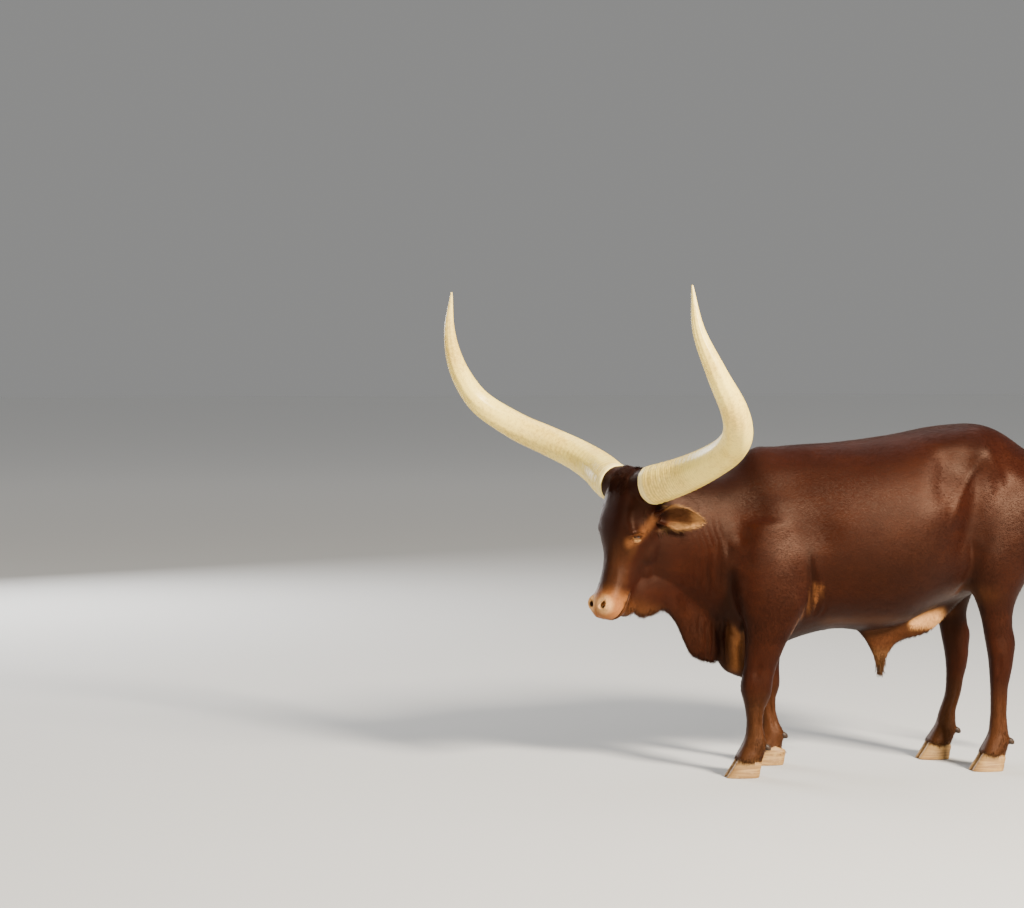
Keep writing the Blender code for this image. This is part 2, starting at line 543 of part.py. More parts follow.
def press_head(points, normals):
    """Hollow the nostrils, the mouth and the sides of the face in skin points of the head."""
    local = points - HEAD_AT
    along, out, raised = local @ DOWN_FACE, np.abs(local @ LEFT), local @ OUT_OF_BROW
    move = np.zeros(len(points))
    spots = [((0.540, 0.034, 0.058), 0.013, -0.016), ((0.528, 0.044, 0.054), 0.012, -0.014),
             ((0.350, 0.075, 0.000), 0.050, -0.008), ((0.160, 0.110, 0.020), 0.032, -0.010),
             ((0.300, 0.060, 0.060), 0.045, -0.004), ((0.430, 0.000, 0.042), 0.060, 0.004)]
    for place, radius, rise in spots:
        distance = np.sqrt((along - place[0]) ** 2 + (out - place[1]) ** 2 + (raised - place[2]) ** 2)
        move += rise * np.exp(-(distance / radius) ** 2)
    lip_line = -0.046 + 0.25 * (along - 0.505)
    in_mouth = np.clip((along - 0.490) / 0.020, 0, 1)
    move -= 0.009 * in_mouth * np.exp(-((raised - lip_line) / 0.006) ** 2)
    before_neck = np.clip((-0.42 - points[:, 0]) / 0.05, 0, 1)
    return points + normals * (move * before_neck)[:, None]


def points_of(thing):
    """An object's vertices and their normals as arrays."""
    count = len(thing.data.vertices)
    points, normals = np.zeros(count * 3), np.zeros(count * 3)
    thing.data.vertices.foreach_get("co", points)
    thing.data.vertex_normals.foreach_get("vector", normals)
    return points.reshape(-1, 3), normals.reshape(-1, 3)


def smoothed(thing, rounds, weights=None):
    """Relax an object's surface, everywhere alike or by a weight for each vertex."""
    smooth = thing.modifiers.new("Smooth", "SMOOTH")
    smooth.factor = 0.5
    smooth.iterations = rounds
    if weights is not None:
        group = thing.vertex_groups.new(name="calm")
        for index, weight in enumerate(weights):
            if weight > 0.01:
                group.add([index], float(weight), "REPLACE")
        smooth.vertex_group = group.name
    return settle(thing)


def flesh(pieces):
    """One smooth skin over all the pieces, calmer on the trunk, with its relief pressed in."""
    whole = combined("flesh", pieces)
    remesh = whole.modifiers.new("Skin", "REMESH")
    remesh.mode = "VOXEL"
    remesh.voxel_size = GRAIN
    smoothed(settle(whole), HEAD_ROUNDS)
    points = points_of(whole)[0]
    behind_head = np.clip((points[:, 0] + 0.42) / 0.10, 0, 1)
    smoothed(whole, BODY_ROUNDS, behind_head)
    smoothed(whole, TRUNK_ROUNDS, behind_head * np.clip((points[:, 2] - 0.64) / 0.12, 0, 1))
    points, normals = points_of(whole)
    points = press_relief(points, normals)
    whole.data.vertices.foreach_set("co", press_head(points, normals).ravel())
    largest(whole)
    points = points_of(whole)[0]
    return thinned(whole, FLESH_FACES, np.clip((-0.52 - points[:, 0]) / 0.06, 0, 1))


# Horns, eyes, ears, claws and tail


def horn(side):
    """One horn from its sunk root to its tip."""
    line = [np.array(HEAD_AT) + from_head(*place, side) for place in HORN_LINE]
    return tube("horn", line, HORN_RADII, count=20, sides=12)


def eye(side):
    """One eyeball."""
    along, out, raised = EYE_PLACE
    return ellipsoid("eye", on_head(along, out * side, raised), (EYE_RADIUS,) * 3, segments=12)


def lid(side, arch):
    """One eyelid: a roll that hugs the eyeball and runs out at both corners of the eye."""
    along, out, raised = EYE_PLACE
    outward = unit(LEFT * side + 0.25 * FORWARD)
    lengthways = unit(np.cross(Z, outward))
    over = np.cross(outward, lengthways)
    turn = np.linspace(-LID_CORNER, LID_CORNER, 7)
    rise = arch * np.cos(turn / LID_CORNER * math.pi / 2)
    ways = (np.outer(np.cos(rise) * np.cos(turn), outward) + np.outer(np.cos(rise) * np.sin(turn), lengthways)
            + np.outer(np.sin(rise), over))
    line = on_head(along, out * side, raised) + (EYE_RADIUS + 0.3 * LID_ROLL) * ways
    return tube("lid", line, [0.6 * LID_ROLL] + [LID_ROLL] * 5 + [0.6 * LID_ROLL], count=7, sides=5)


def ear(side):
    """One ear, a leaf rolled into a cup: nearly closed round the root, opening towards the tip."""
    root = on_head(EAR_ROOT[0], EAR_ROOT[1] * side, EAR_ROOT[2])
    points = unit(from_head(*EAR_POINTS, side))
    opens = from_head(*EAR_OPENS, side)
    opens = unit(opens - points * (opens @ points))
    across = np.cross(points, opens)
    rows = between(EAR_SECTIONS, 9)
    rings = []
    for place, wide, deep, wrap, thick, droop in rows:
        turn = np.radians(wrap) * np.linspace(-1, 1, 9)[:, None]
        outer = across * wide * np.sin(turn) - opens * deep * np.cos(turn)
        inner = across * (wide - thick) * np.sin(turn) - opens * (deep - thick) * np.cos(turn)
        centre = root + points * (EAR_LENGTH * place - EAR_SUNK) - Z * droop
        rings.append(centre + np.concatenate([outer, inner[::-1]]))
    return skin_rings("ear", np.array(rings))


def claw(foot, which):
    """One claw of a foot: flat sole, sloping toe wall, lower at the heel. `which` is 1 for the outer one."""
    sideways, toe, heel = FEET[foot]
    outward = which * math.copysign(1, sideways)
    length = heel - toe
    angle = np.linspace(0, 2 * math.pi, 12, endpoint=False)
    along = 0.5 + 0.5 * np.sign(np.cos(angle)) * np.abs(np.cos(angle)) ** 0.85
    wide = (np.where(np.sin(angle) > 0, CLAW_OUTER, CLAW_INNER) * np.sign(np.sin(angle))
            * np.abs(np.sin(angle)) ** 0.8)
    wide = np.where(np.sin(angle) > 0, wide * (1 - 0.30 * (1 - along)), wide)
    rings = []
    for level, shrink in ((0.0, 0.97), (0.06, 1.0), (0.55, 0.93), (1.0, 0.84), (1.12, 0.70)):
        high = level * (CLAW_HIGH_HEEL + (CLAW_HIGH_TOE - CLAW_HIGH_HEEL) * (1 - along))
        lean = (1 - along) * high / math.tan(CLAW_SLOPE) + along * high * 0.25
        x = toe + length / 2 + (along - 0.5) * length * (0.6 + 0.4 * shrink) + lean
        y = sideways + outward * (CLAW_GAP / 2 + CLAW_INNER + (wide * shrink))
        rings.append(np.column_stack([x, y, high]))
    return skin_rings("claw", np.array(rings))


def dewclaw(foot, which):
    """One of the two small claws behind the fetlock."""
    table = leg_table(foot)
    centre, back = (np.interp(DEWCLAW_HIGH, table[:, 0], table[:, column]) for column in (1, 4))
    outward = which * math.copysign(1, centre)
    root = np.array([back - DEWCLAW_SUNK, centre + outward * DEWCLAW_APART, DEWCLAW_HIGH + 0.008])
    tip = np.array([back + DEWCLAW_OUT, centre + outward * (DEWCLAW_APART + 0.003), DEWCLAW_HIGH - 0.016])
    return tube("dewclaw", [root, (root + tip) / 2, tip], [0.012, 0.013, 0.006], count=4, sides=7)


TAIL_LINE = [(1.150, 0, 1.318), (1.195, 0, 1.322), (1.248, 0, 1.292), (1.276, 0, 1.210), (1.284, 0, 1.080),
             (1.280, 0.004, 0.900), (1.272, 0.006, 0.760), (1.268, 0.006, SWITCH_TOP)]
TAIL_RADII = [0.036, 0.036, 0.031, 0.026, 0.021, 0.017, 0.014, 0.013]


def tail():
    """The fleshy tail, from its root in the rump to the top of the switch."""
    rings = tube_rings(TAIL_LINE, TAIL_RADII, count=16, sides=10)
    rings[-1, :, 2] = SWITCH_TOP
    return skin_rings("tail", rings)


def lock(root, length, spread, turn, curl, sway):
    """One flat tapered lock, which leaves the core at its root, swells out and bends in again to its tip."""
    steps = np.linspace(0, 1, 6)
    swell = np.sin(math.pi * (0.10 + 0.80 * steps)) ** 0.8
    reach = 0.006 + (spread - 0.006) * swell + sway * steps**2
    angle = turn + curl * steps
    outward = np.column_stack([np.cos(angle), np.sin(angle), 0 * angle])
    sideways = np.column_stack([-np.sin(angle), np.cos(angle), 0 * angle])
    centre = np.array(TAIL_LINE[-1][:2] + (root,)) + outward * reach[:, None] - np.outer(steps * length, Z)
    wide = LOCK_WIDTH * np.sin(math.pi * (0.20 + 0.78 * steps)) ** 0.7
    thick = LOCK_THICK * (1.0 - 0.75 * steps)
    rings = [centre + sideways * (wide * s)[:, None] + outward * (thick * o)[:, None]
             for s, o in ((1, 0), (0.2, 1), (-1, 0), (-0.2, -0.8))]
    return skin_rings("lock", np.stack(rings, axis=1))


def tail_switch():
    """The tuft at the end of the tail: flat locks in two tiers over a short core."""
    top = np.array(TAIL_LINE[-1])
    core_end = (SWITCH_TOP + SWITCH_TIP) / 2
    line = [top - share * (SWITCH_TOP - core_end) * Z for share in (0.0, 0.3, 0.7, 1.0)]
    rings = tube_rings(line, [0.0135, 0.024, 0.020, 0.006], count=8, sides=10)
    rings[0, :, 2] = SWITCH_TOP - GAP
    core = skin_rings("tail_switch", rings)
    random = np.random.default_rng(7)
    locks = []
    for count, root, length, spread in SWITCH_TIERS:
        for i in range(count):
            turn = 2 * math.pi * (i + random.uniform(-0.2, 0.2)) / count
            locks.append(lock(root + random.uniform(-0.02, 0.01), length * random.uniform(0.88, 1.05), spread,
                              turn, random.uniform(-0.9, 0.9), random.uniform(-0.018, 0.002)))
    return largest(joined(core, locks))


# Nodes


def finish(thing, name, colour, roughness=0.6):
    """Name a node, give it its own material and smooth shading."""
    thing.name = name
    thing.data.name = name
    material = bpy.data.materials.new(name)
    material.use_nodes = True
    shader = material.node_tree.nodes["Principled BSDF"]
    shader.inputs["Base Color"].default_value = (*colour, 1.0)
    shader.inputs["Roughness"].default_value = roughness
    shader.inputs["Metallic"].default_value = 0.0
    thing.data.materials.clear()
    thing.data.materials.append(material)
    thing.data.shade_smooth()
    thing.data.set_sharp_from_angle(angle=math.radians(50))
    thing.data.transform(Matrix.Translation((*WITHERS_AT, 0.0)))
    return thing


MAHOGANY = (0.085, 0.018, 0.008)
TAN = (0.30, 0.12, 0.05)
IVORY = (0.62, 0.50, 0.28)
HOOF = (0.30, 0.22, 0.14)
EYE_BROWN = (0.012, 0.006, 0.004)
SWITCH_BLACK = (0.030, 0.012, 0.008)


def build():
    """Make every node."""
    for thing in list(bpy.data.objects):
        bpy.data.objects.remove(thing)

    pieces = [head_form(), neck_form(), dewlap_form(), torso_form(), brisket_form(), sheath_form()]
    for side in (1, -1):
        pieces += head_swellings(side) + haunch_swellings(side)
    body = flesh(pieces + [leg_form(foot) for foot in LEGS])

    neck_joint = np.array(HEAD_AT) - 0.118 * FORWARD - 0.24 * Z
    head, body = part_off(body, "head", neck_joint, FORWARD, LEFT, 0.30, 0.45)
    joined(head, [lid(side, arch) for side in (1, -1) for arch in LID_ARCHES.values()], "MANIFOLD")

    cut_legs = {}
    for foot in LEGS:
        side = math.copysign(1, FEET[foot][0])
        if foot.startswith("front"):
            shift = 0.0 if side < 0 else 0.060
            centre, normal, half = (-0.060 + shift, 0.180 * side, 0.622), (0, 0.74 * side, -0.67), 0.210
        else:
            shift = 0.0 if side < 0 else -0.060
            centre, normal, half = (0.945 + shift, 0.190 * side, 0.830), (0.40, side, -1.0), 0.250
        cut_legs[foot], body = part_off(body, foot, centre, normal, X, half, 0.175)

    dewlap, body = part_off(body, "dewlap", (-0.320, -0.02, 0.665), (-0.50, 0, -0.866), Y, 0.16, 0.40)
    neck, body = part_off(body, "neck", (-0.220, 0, 0.980), (-0.985, 0, -0.17), Y, 0.34, 0.50)
    sheath, torso = part_off(body, "sheath", (0.560, 0, 0.602), (0.135, 0, -0.99), Y, 0.10, 0.245)

    for side, word in ((1, "left"), (-1, "right")):
        finish(seat(head, horn(side)), "horn_" + word, IVORY, 0.45)
        finish(seat(head, eye(side)), "eye_" + word, EYE_BROWN, 0.1)
        finish(seat(head, ear(side)), "ear_" + word, TAN)
    finish(seat(torso, tail()), "tail", MAHOGANY)
    finish(tail_switch(), "tail_switch", SWITCH_BLACK, 0.7)

    for foot, leg in cut_legs.items():
        for which, word in ((1, "outer"), (-1, "inner")):
            finish(seat(leg, claw(foot, which)), "claw_" + foot + "_" + word, HOOF, 0.5)
            finish(seat(leg, dewclaw(foot, which)), "dewclaw_" + foot + "_" + word, HOOF, 0.5)
        finish(largest(leg), "leg_" + foot, MAHOGANY)

    finish(largest(head), "head", MAHOGANY)
    finish(neck, "neck", MAHOGANY)
    finish(dewlap, "dewlap", MAHOGANY)
    finish(largest(torso), "torso", MAHOGANY)
    finish(sheath, "sheath", TAN)


build()
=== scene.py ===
"""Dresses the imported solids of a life-size Ankole-Watusi: hide, short coat, eyes, horns, hooves and switch.

Metres, +Z up, the floor at z = 0. The head points to -X and the animal's left side faces -Y. Places on
the animal are given from a point on the floor under the withers, which stands at WITHERS.
"""

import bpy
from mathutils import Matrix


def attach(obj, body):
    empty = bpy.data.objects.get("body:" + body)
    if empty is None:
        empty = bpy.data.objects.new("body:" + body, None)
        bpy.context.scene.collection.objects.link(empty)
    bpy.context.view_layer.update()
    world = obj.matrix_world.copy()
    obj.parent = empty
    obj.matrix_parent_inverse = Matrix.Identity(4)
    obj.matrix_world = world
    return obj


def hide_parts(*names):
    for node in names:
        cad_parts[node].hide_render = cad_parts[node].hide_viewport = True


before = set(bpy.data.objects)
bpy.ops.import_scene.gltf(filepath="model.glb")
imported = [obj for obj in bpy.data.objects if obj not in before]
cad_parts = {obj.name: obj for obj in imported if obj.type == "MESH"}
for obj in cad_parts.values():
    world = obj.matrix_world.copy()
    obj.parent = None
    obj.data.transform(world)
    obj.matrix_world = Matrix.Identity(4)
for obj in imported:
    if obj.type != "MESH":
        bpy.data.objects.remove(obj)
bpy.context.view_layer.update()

import math

import bmesh
import bpy
import numpy as np
from mathutils import Vector

# Floor, lights and camera
# A wide pale floor under soft studio lights: a broad key from the right of the camera, a weak fill from
# the left, a large overhead one that lays a sheen along the back, and one from behind the animal.

FLOOR_REACH, FLOOR_NEAR, FLOOR_AWAY = 90.0, 4.0, 26.0
FLOOR_PALE, FLOOR_CLOUD, FLOOR_FAR_PAINTED_LIGHT = (0.5, 0.49, 0.47), (0.47, 0.46, 0.44), (0.97, 0.97, 0.96)
SURROUND_PALE, SURROUND_STRENGTH = (0.88, 0.88, 0.87, 1.0), 0.31
# Each light: place, size, power and colour
LIGHTS = {"key": ((5.0, -8.8, 6.6), 2.2, 6600, (1.0, 0.92, 0.8)),
          "fill": ((-8.5, -6.0, 3.5), 4.5, 430, (1.0, 0.97, 0.92)),
          "overhead": ((0.8, 3.0, 7.5), 5.0, 260, (0.97, 0.98, 1.0)),
          "rear": ((-4.5, 8.5, 3.8), 4.0, 900, (0.97, 0.98, 1.0))}
LIT_POINT = Vector((0.0, 0.0, 1.0))
CAMERA_AT, CAMERA_LENS, CAMERA_FILM = (-2.968, -10.304, 1.8), 89.72, 36.0
CAMERA_TURN, CAMERA_DROP = math.radians(10.0), math.radians(2.33)


def stood(name, data, place=(0, 0, 0), turn=(0, 0, 0)):
    """A new object in the scene."""
    made = bpy.data.objects.new(name, data)
    made.location = place
    made.rotation_euler = turn
    bpy.context.scene.collection.objects.link(made)
    return made


def mesh_of(name, points, *faces):
    """A smooth mesh object from points[n, 3] and arrays of faces, each array of one number of corners."""
    mesh = bpy.data.meshes.new(name)
    sizes = np.concatenate([np.full(len(group), group.shape[1]) for group in faces])
    corners = np.concatenate([group.ravel() for group in faces])
    mesh.vertices.add(len(points))
    mesh.vertices.foreach_set("co", np.asarray(points, np.float32).ravel())
    mesh.loops.add(len(corners))
    mesh.loops.foreach_set("vertex_index", corners.astype(np.int32))
    mesh.polygons.add(len(sizes))
    mesh.polygons.foreach_set("loop_start", np.r_[0, np.cumsum(sizes)[:-1]].astype(np.int32))
    mesh.update(calc_edges=True)
    mesh.shade_smooth()
    return stood(name, mesh)


for name, (place, size, power, colour) in LIGHTS.items():
    lamp = bpy.data.lights.new(name, "AREA")
    lamp.size = size
    lamp.energy = power
    lamp.color = colour
    stood(name, lamp, place, (LIT_POINT - Vector(place)).to_track_quat("-Z", "Y").to_euler())

floor = mesh_of("floor", FLOOR_REACH * np.array([(-1, -1, 0), (1, -1, 0), (1, 1, 0), (-1, 1, 0)], float),
                np.array([[0, 1, 2, 3]]))

surround = bpy.data.worlds.new("surround")
surround.use_nodes = True
backdrop = surround.node_tree.nodes["Background"].inputs
backdrop["Color"].default_value = SURROUND_PALE
backdrop["Strength"].default_value = SURROUND_STRENGTH
bpy.context.scene.world = surround

camera = bpy.data.cameras.new("camera")
camera.lens = CAMERA_LENS
camera.sensor_width = CAMERA_FILM
camera.sensor_fit = "HORIZONTAL"
camera.clip_end = 2 * FLOOR_REACH
bpy.context.scene.camera = stood("camera", camera, CAMERA_AT, (math.pi / 2 - CAMERA_DROP, 0.0, -CAMERA_TURN))


class Value:
    """A socket of a finish that adds Math nodes as it is used in a sum."""

    def __init__(self, finish, socket):
        self.finish, self.socket = finish, socket

    def __add__(self, other):
        return self.finish.node("Math", {"operation": "ADD"}, {0: self, 1: other})

    def __rsub__(self, other):
        return self.finish.node("Math", {"operation": "SUBTRACT"}, {0: other, 1: self})

    def __mul__(self, other):
        return self.finish.node("Math", {"operation": "MULTIPLY"}, {0: self, 1: other})

    __radd__ = __add__
    __rmul__ = __mul__


class Finish:
    """A material under way: its nodes and the Principled shader that they feed."""

    def __init__(self, name, **constants):
        self.material = bpy.data.materials.new(name)
        self.material.use_nodes = True
        self.tree = self.material.node_tree
        self.done(**constants)

    def put(self, sockets, values):
        """Link or set input sockets by name or number."""
        for name, value in values.items():
            if isinstance(value, Value):
                self.tree.links.new(value.socket, sockets[name])
            else:
                sockets[name].default_value = value

    def node(self, kind, settings, values, output=0):
        """A node of any kind: its settings first, then its sockets."""
        made = self.tree.nodes.new("ShaderNode" + kind)
        for word, setting in settings.items():
            setattr(made, word, setting)
        self.put(made.inputs, values)
        return Value(self, made.outputs[output])

    def blend(self, share, first, second):
        """The first colour going over into the second one."""
        first, second = (c if isinstance(c, Value) else (*c, 1.0) for c in (first, second))
        return self.node("Mix", {"data_type": "RGBA", "clamp_factor": True},
                         {0: share, 6: first, 7: second}, 2)

    def shade(self, colour, amount):
        """A colour times a number."""
        return self.node("VectorMath", {"operation": "SCALE"}, {0: colour, "Scale": amount})

    def place(self, stretch=(1, 1, 1)):
        """Object coordinates, stretched for a pattern."""
        spot = self.node("TexCoord", {}, {}, "Object")
        return self.node("Mapping", {}, {"Vector": spot, "Scale": stretch})

    def noise(self, scale, detail=3.0, rough=0.55, stretch=(1, 1, 1)):
        """Cloudy noise from 0 to 1."""
        return self.node("TexNoise", {}, {"Vector": self.place(stretch), "Scale": scale, "Detail": detail,
                                          "Roughness": rough})

    def between(self, value, low, high):
        """0 below low and 1 above high, with a soft step between."""
        return self.node("MapRange", {"interpolation_type": "SMOOTHSTEP"},
                         {0: value, 1: low, 2: high, 3: 0.0, 4: 1.0})

    def held(self, attribute, output="Fac"):
        """What an attribute of the piece holds."""
        return self.node("Attribute", {"attribute_name": attribute}, {}, output)

    def bump(self, height, distance, strength, **over):
        """A Bump node, over another one given as Normal."""
        return self.node("Bump", {}, {"Height": height, "Distance": distance, "Strength": strength, **over})

    def done(self, *pieces, **sockets):
        """Link or set the shader's sockets, and give the finish to pieces."""
        shader = self.tree.nodes["Principled BSDF"]
        self.put(shader.inputs, {name.replace("_", " "): value for name, value in sockets.items()})
        for piece in pieces:
            piece.data.materials.clear()
            piece.data.materials.append(self.material)
        return self.material


floor_finish = Finish("floor", Roughness=0.9, Specular_IOR_Level=0.2)
near_tone = floor_finish.blend(floor_finish.noise(1.3) * 0.35, FLOOR_PALE, FLOOR_CLOUD)
# The floor grows paler with distance: painted light that makes up for the lamps' falloff, so that the far
# floor melts into the backdrop.
away = floor_finish.node("VectorMath", {"operation": "LENGTH"}, {0: floor_finish.place()}, "Value")
away = floor_finish.between(away, FLOOR_NEAR, FLOOR_AWAY)
floor_finish.done(floor, Base_Color=floor_finish.blend(away, near_tone, FLOOR_FAR_PAINTED_LIGHT))

# Hide
# The animal's skin under its short coat, one piece from the muzzle to the tail and down to the hooves.
# It is drawn from the flesh solids, smoothed, creased where the neck bends, and opened at eyes and nostrils.

WITHERS = np.array([0.0309, 0.2357, 0.0])
FLESH = ("head", "neck", "dewlap", "torso", "sheath",
         "leg_front_left", "leg_front_right", "leg_hind_left", "leg_hind_right")
SIDES = {1: "left", -1: "right"}
CLAWS = {1: "outer", -1: "inner"}
# Each foot: how far its middle is to the right, and where its toes and its heel are
FEET = {"front_left": (-0.158, -0.256, -0.114), "front_right": (0.15, -0.062, 0.08),
        "hind_left": (-0.172, 0.822, 0.962), "hind_right": (0.175, 0.702, 0.842)}
SWELL, SHRINK, TAIL_SHRINK = 0.0006, 0.002, 0.0022
HIDE_GRAIN, HIDE_FACES = 0.0042, 192000
HEAD_ROUNDS, BODY_ROUNDS, TRUNK_ROUNDS = 10, 16, 70
COAT_DEPTH_BODY, COAT_DEPTH_HEAD = 0.002, 0.001

HEAD_AT = np.array([-0.644, -0.12, 1.248])
HEAD_YAW, FACE_PITCH = math.radians(28.0), math.radians(74.0)
UP = np.array([0.0, 0.0, 1.0])
FORWARD = np.array([-math.cos(HEAD_YAW), -math.sin(HEAD_YAW), 0.0])
LEFT = np.array([math.sin(HEAD_YAW), -math.cos(HEAD_YAW), 0.0])
DOWN_FACE = math.cos(FACE_PITCH) * FORWARD - math.sin(FACE_PITCH) * UP
OUT_OF_BROW = math.sin(FACE_PITCH) * FORWARD + math.cos(FACE_PITCH) * UP
EYE_PLACE, EYE_RADIUS, EYE_SEAT = (0.23, 0.096, 0.004), 0.0195, 0.025
NOSTRIL_PLACE = (0.534, 0.037, 0.052)
MOUTH_DROP, MOUTH_SLOPE, MOUTH_AT = 0.046, 0.25, 0.505

TAIL_LINE = [(1.15, 0, 1.318), (1.195, 0, 1.322), (1.248, 0, 1.292), (1.276, 0, 1.21), (1.284, 0, 1.08),
             (1.28, 0.004, 0.9), (1.272, 0.006, 0.76), (1.268, 0.006, 0.64), (1.268, 0.006, 0.56)]
TAIL_RADII = [0.036, 0.036, 0.031, 0.026, 0.021, 0.017, 0.014, 0.013, 0.01]
HORN_LINE = [(0.06, 0.01, -0.02), (0.134, 0.001, -0.004), (0.279, -0.043, 0.043), (0.428, -0.048, 0.098),
             (0.578, -0.009, 0.156), (0.719, 0.078, 0.226), (0.812, 0.189, 0.324), (0.828, 0.294, 0.464),
             (0.802, 0.364, 0.629), (0.775, 0.373, 0.802)]
HORN_RADII = [0.078, 0.083, 0.078, 0.071, 0.067, 0.062, 0.055, 0.043, 0.026, 0.004]
HORN_SEAT_RADII = [0.069, 0.075, 0.077]

EAR_ROOT, EAR_LENGTH, EAR_SUNK, EAR_SEAT = (0.13, 0.102, -0.066), 0.225, 0.02, 0.0275
EAR_POINTS, EAR_OPENS = (0.74, -0.64, 0.02), (0.62, 0.66, -0.42)
# Stations of the ear: place along it, half width, depth, degrees that it wraps, thickness and droop
EAR_SECTIONS = [(0.0, 0.024, 0.022, 165, 0.006, 0.0), (0.12, 0.028, 0.025, 160, 0.006, 0.0),
                (0.28, 0.042, 0.03, 122, 0.0055, 0.001), (0.45, 0.055, 0.031, 96, 0.005, 0.003),
                (0.62, 0.056, 0.027, 86, 0.0045, 0.006), (0.8, 0.042, 0.019, 82, 0.004, 0.011),
                (0.93, 0.019, 0.011, 80, 0.0032, 0.015), (1.0, 0.004, 0.004, 78, 0.002, 0.018)]

# Creases on the left side: points along each one, its half width, its depth and its banks' share of that.
# The first one is the broad hollow that the deep fold behind the brisket lies in, and the last is the stifle.
CREASES = [
    ([(-0.262, -0.195, 1.08), (-0.252, -0.18, 0.95), (-0.246, -0.16, 0.84), (-0.232, -0.13, 0.76),
      (-0.232, -0.08, 0.66), (-0.228, -0.045, 0.56), (-0.222, -0.03, 0.44)], 0.032, 0.013, 0.0),
    ([(-0.258, -0.195, 1.04), (-0.252, -0.18, 0.94), (-0.247, -0.16, 0.84), (-0.236, -0.13, 0.76),
      (-0.234, -0.08, 0.66), (-0.23, -0.045, 0.56), (-0.224, -0.03, 0.44)], 0.009, 0.01, 0.15),
    ([(-0.166, -0.22, 0.9), (-0.172, -0.2, 0.76), (-0.17, -0.15, 0.66), (-0.157, -0.07, 0.55),
      (-0.16, -0.045, 0.42)], 0.013, 0.012, 0.1),
    ([(-0.296, -0.18, 1.02), (-0.302, -0.177, 0.9), (-0.296, -0.15, 0.8)], 0.009, 0.0042, 0.3),
    ([(-0.332, -0.165, 0.98), (-0.341, -0.15, 0.87), (-0.334, -0.119, 0.75)], 0.008, 0.003, 0.3),
    ([(-0.384, -0.16, 0.95), (-0.374, -0.14, 0.85), (-0.38, -0.115, 0.79)], 0.009, 0.0024, 0.3),
    ([(-0.324, -0.085, 0.71), (-0.313, -0.06, 0.58), (-0.304, -0.035, 0.47)], 0.006, 0.0032, 0.3),
    ([(-0.29, -0.075, 0.7), (-0.282, -0.05, 0.57), (-0.284, -0.032, 0.45)], 0.0055, 0.0036, 0.3),
    ([(-0.256, -0.08, 0.69), (-0.248, -0.044, 0.56), (-0.24, -0.02, 0.45)], 0.006, 0.004, 0.25),
    ([(-0.352, -0.085, 0.72), (-0.349, -0.062, 0.6), (-0.354, -0.045, 0.48)], 0.007, 0.0024, 0.3),
    ([(0.082, -0.25, 0.96), (0.094, -0.245, 0.82), (0.087, -0.215, 0.71), (0.066, -0.175, 0.635)],
     0.012, 0.008, 0.15),
    ([(0.118, -0.24, 0.86), (0.13, -0.225, 0.75), (0.106, -0.19, 0.66)], 0.009, 0.005, 0.2),
    ([(0.15, -0.235, 0.81), (0.16, -0.215, 0.72), (0.139, -0.18, 0.65)], 0.008, 0.0032, 0.2),
    ([(0.74, -0.13, 0.72), (0.795, -0.18, 0.8), (0.812, -0.215, 0.88), (0.795, -0.24, 1.02)],
     0.02, 0.008, 0.1)]

# Hollows round the hip bone on both sides, and ridges where the depth is below nought, seen from the side
HOLLOWS = [([(0.7, 0, 1.4), (0.668, 0, 1.27), (0.636, 0, 1.12)], 0.046, 0.0095),
           ([(0.856, 0, 1.372), (0.784, 0, 1.262), (0.73, 0, 1.175), (0.672, 0, 1.01)], 0.018, -0.0055),
           ([(0.85, 0, 1.32), (0.822, 0, 1.21), (0.8, 0, 1.11), (0.756, 0, 0.9)], 0.046, 0.015),
           ([(0.876, 0, 1.362), (0.918, 0, 1.29), (0.966, 0, 1.185)], 0.022, -0.0045)]


def unit(vectors):
    """Vectors at length one."""
    vectors = np.asarray(vectors, float)
    return vectors / np.maximum(np.linalg.norm(vectors, axis=-1, keepdims=True), 1e-9)


def soft(value, none, full):
    """0 at the first limit and past it, 1 at the second, with a smooth step between, up or down."""
    share = np.clip((value - none) / (full - none), 0.0, 1.0)
    return share * share * (3.0 - 2.0 * share)


def bell(value, wide):
    """A bell curve, 1 at nought."""
    return np.exp(-(value / wide) ** 2)


def around(count):
    """Even turns round a ring."""
    return np.linspace(0, 2 * math.pi, count, endpoint=False)


def on_head(place, side=1):
    """A point from distances down the face, out to the side, and out of the forehead."""
    along, out, raised = place
    return HEAD_AT + along * DOWN_FACE + out * side * LEFT + raised * OUT_OF_BROW


def on_both(*places):
    """A line of places on the left of the head, and the same line on the right."""
    return [[on_head(place, side) for place in places] for side in SIDES]


def from_head(way, side):
    """A direction given as out to the side, forward and up."""
    out, forward, up = way
    return out * side * LEFT + forward * FORWARD + up * UP


def in_head(points):
    """How far points are down the face, out to the left and out of the forehead."""
    local = points - HEAD_AT
    return local @ DOWN_FACE, local @ LEFT, local @ OUT_OF_BROW


def rows_between(stations, count):
    """Even rows along stations, whose first column is the place, by cubic Hermite curves."""
    table = np.array(stations, float)
    place = table[:, 0]
    slope = np.gradient(table, place, axis=0)
    wanted = np.linspace(place[0], place[-1], count)
    left = np.clip(np.searchsorted(place, wanted, side="right") - 1, 0, len(place) - 2)
    width = (place[left + 1] - place[left])[:, None]
    t = (wanted - place[left])[:, None] / width
    rows = ((2 * t**3 - 3 * t**2 + 1) * table[left] + (t**3 - 2 * t**2 + t) * width * slope[left]
            + (3 * t**2 - 2 * t**3) * table[left + 1] + (t**3 - t**2) * width * slope[left + 1])
    rows[:, 0] = wanted
    return rows


def line_rows(line, radii, count):
    """Centres, directions, radii and run along a smooth curve through the given points."""
    line = np.array(line, float)
    run = np.r_[0, np.cumsum(np.linalg.norm(np.diff(line, axis=0), axis=1))]
    rows = rows_between(np.column_stack([run, line, radii]), count)
    return rows[:, 1:4], unit(np.gradient(rows[:, 1:4], axis=0)), rows[:, 4], rows[:, 0]


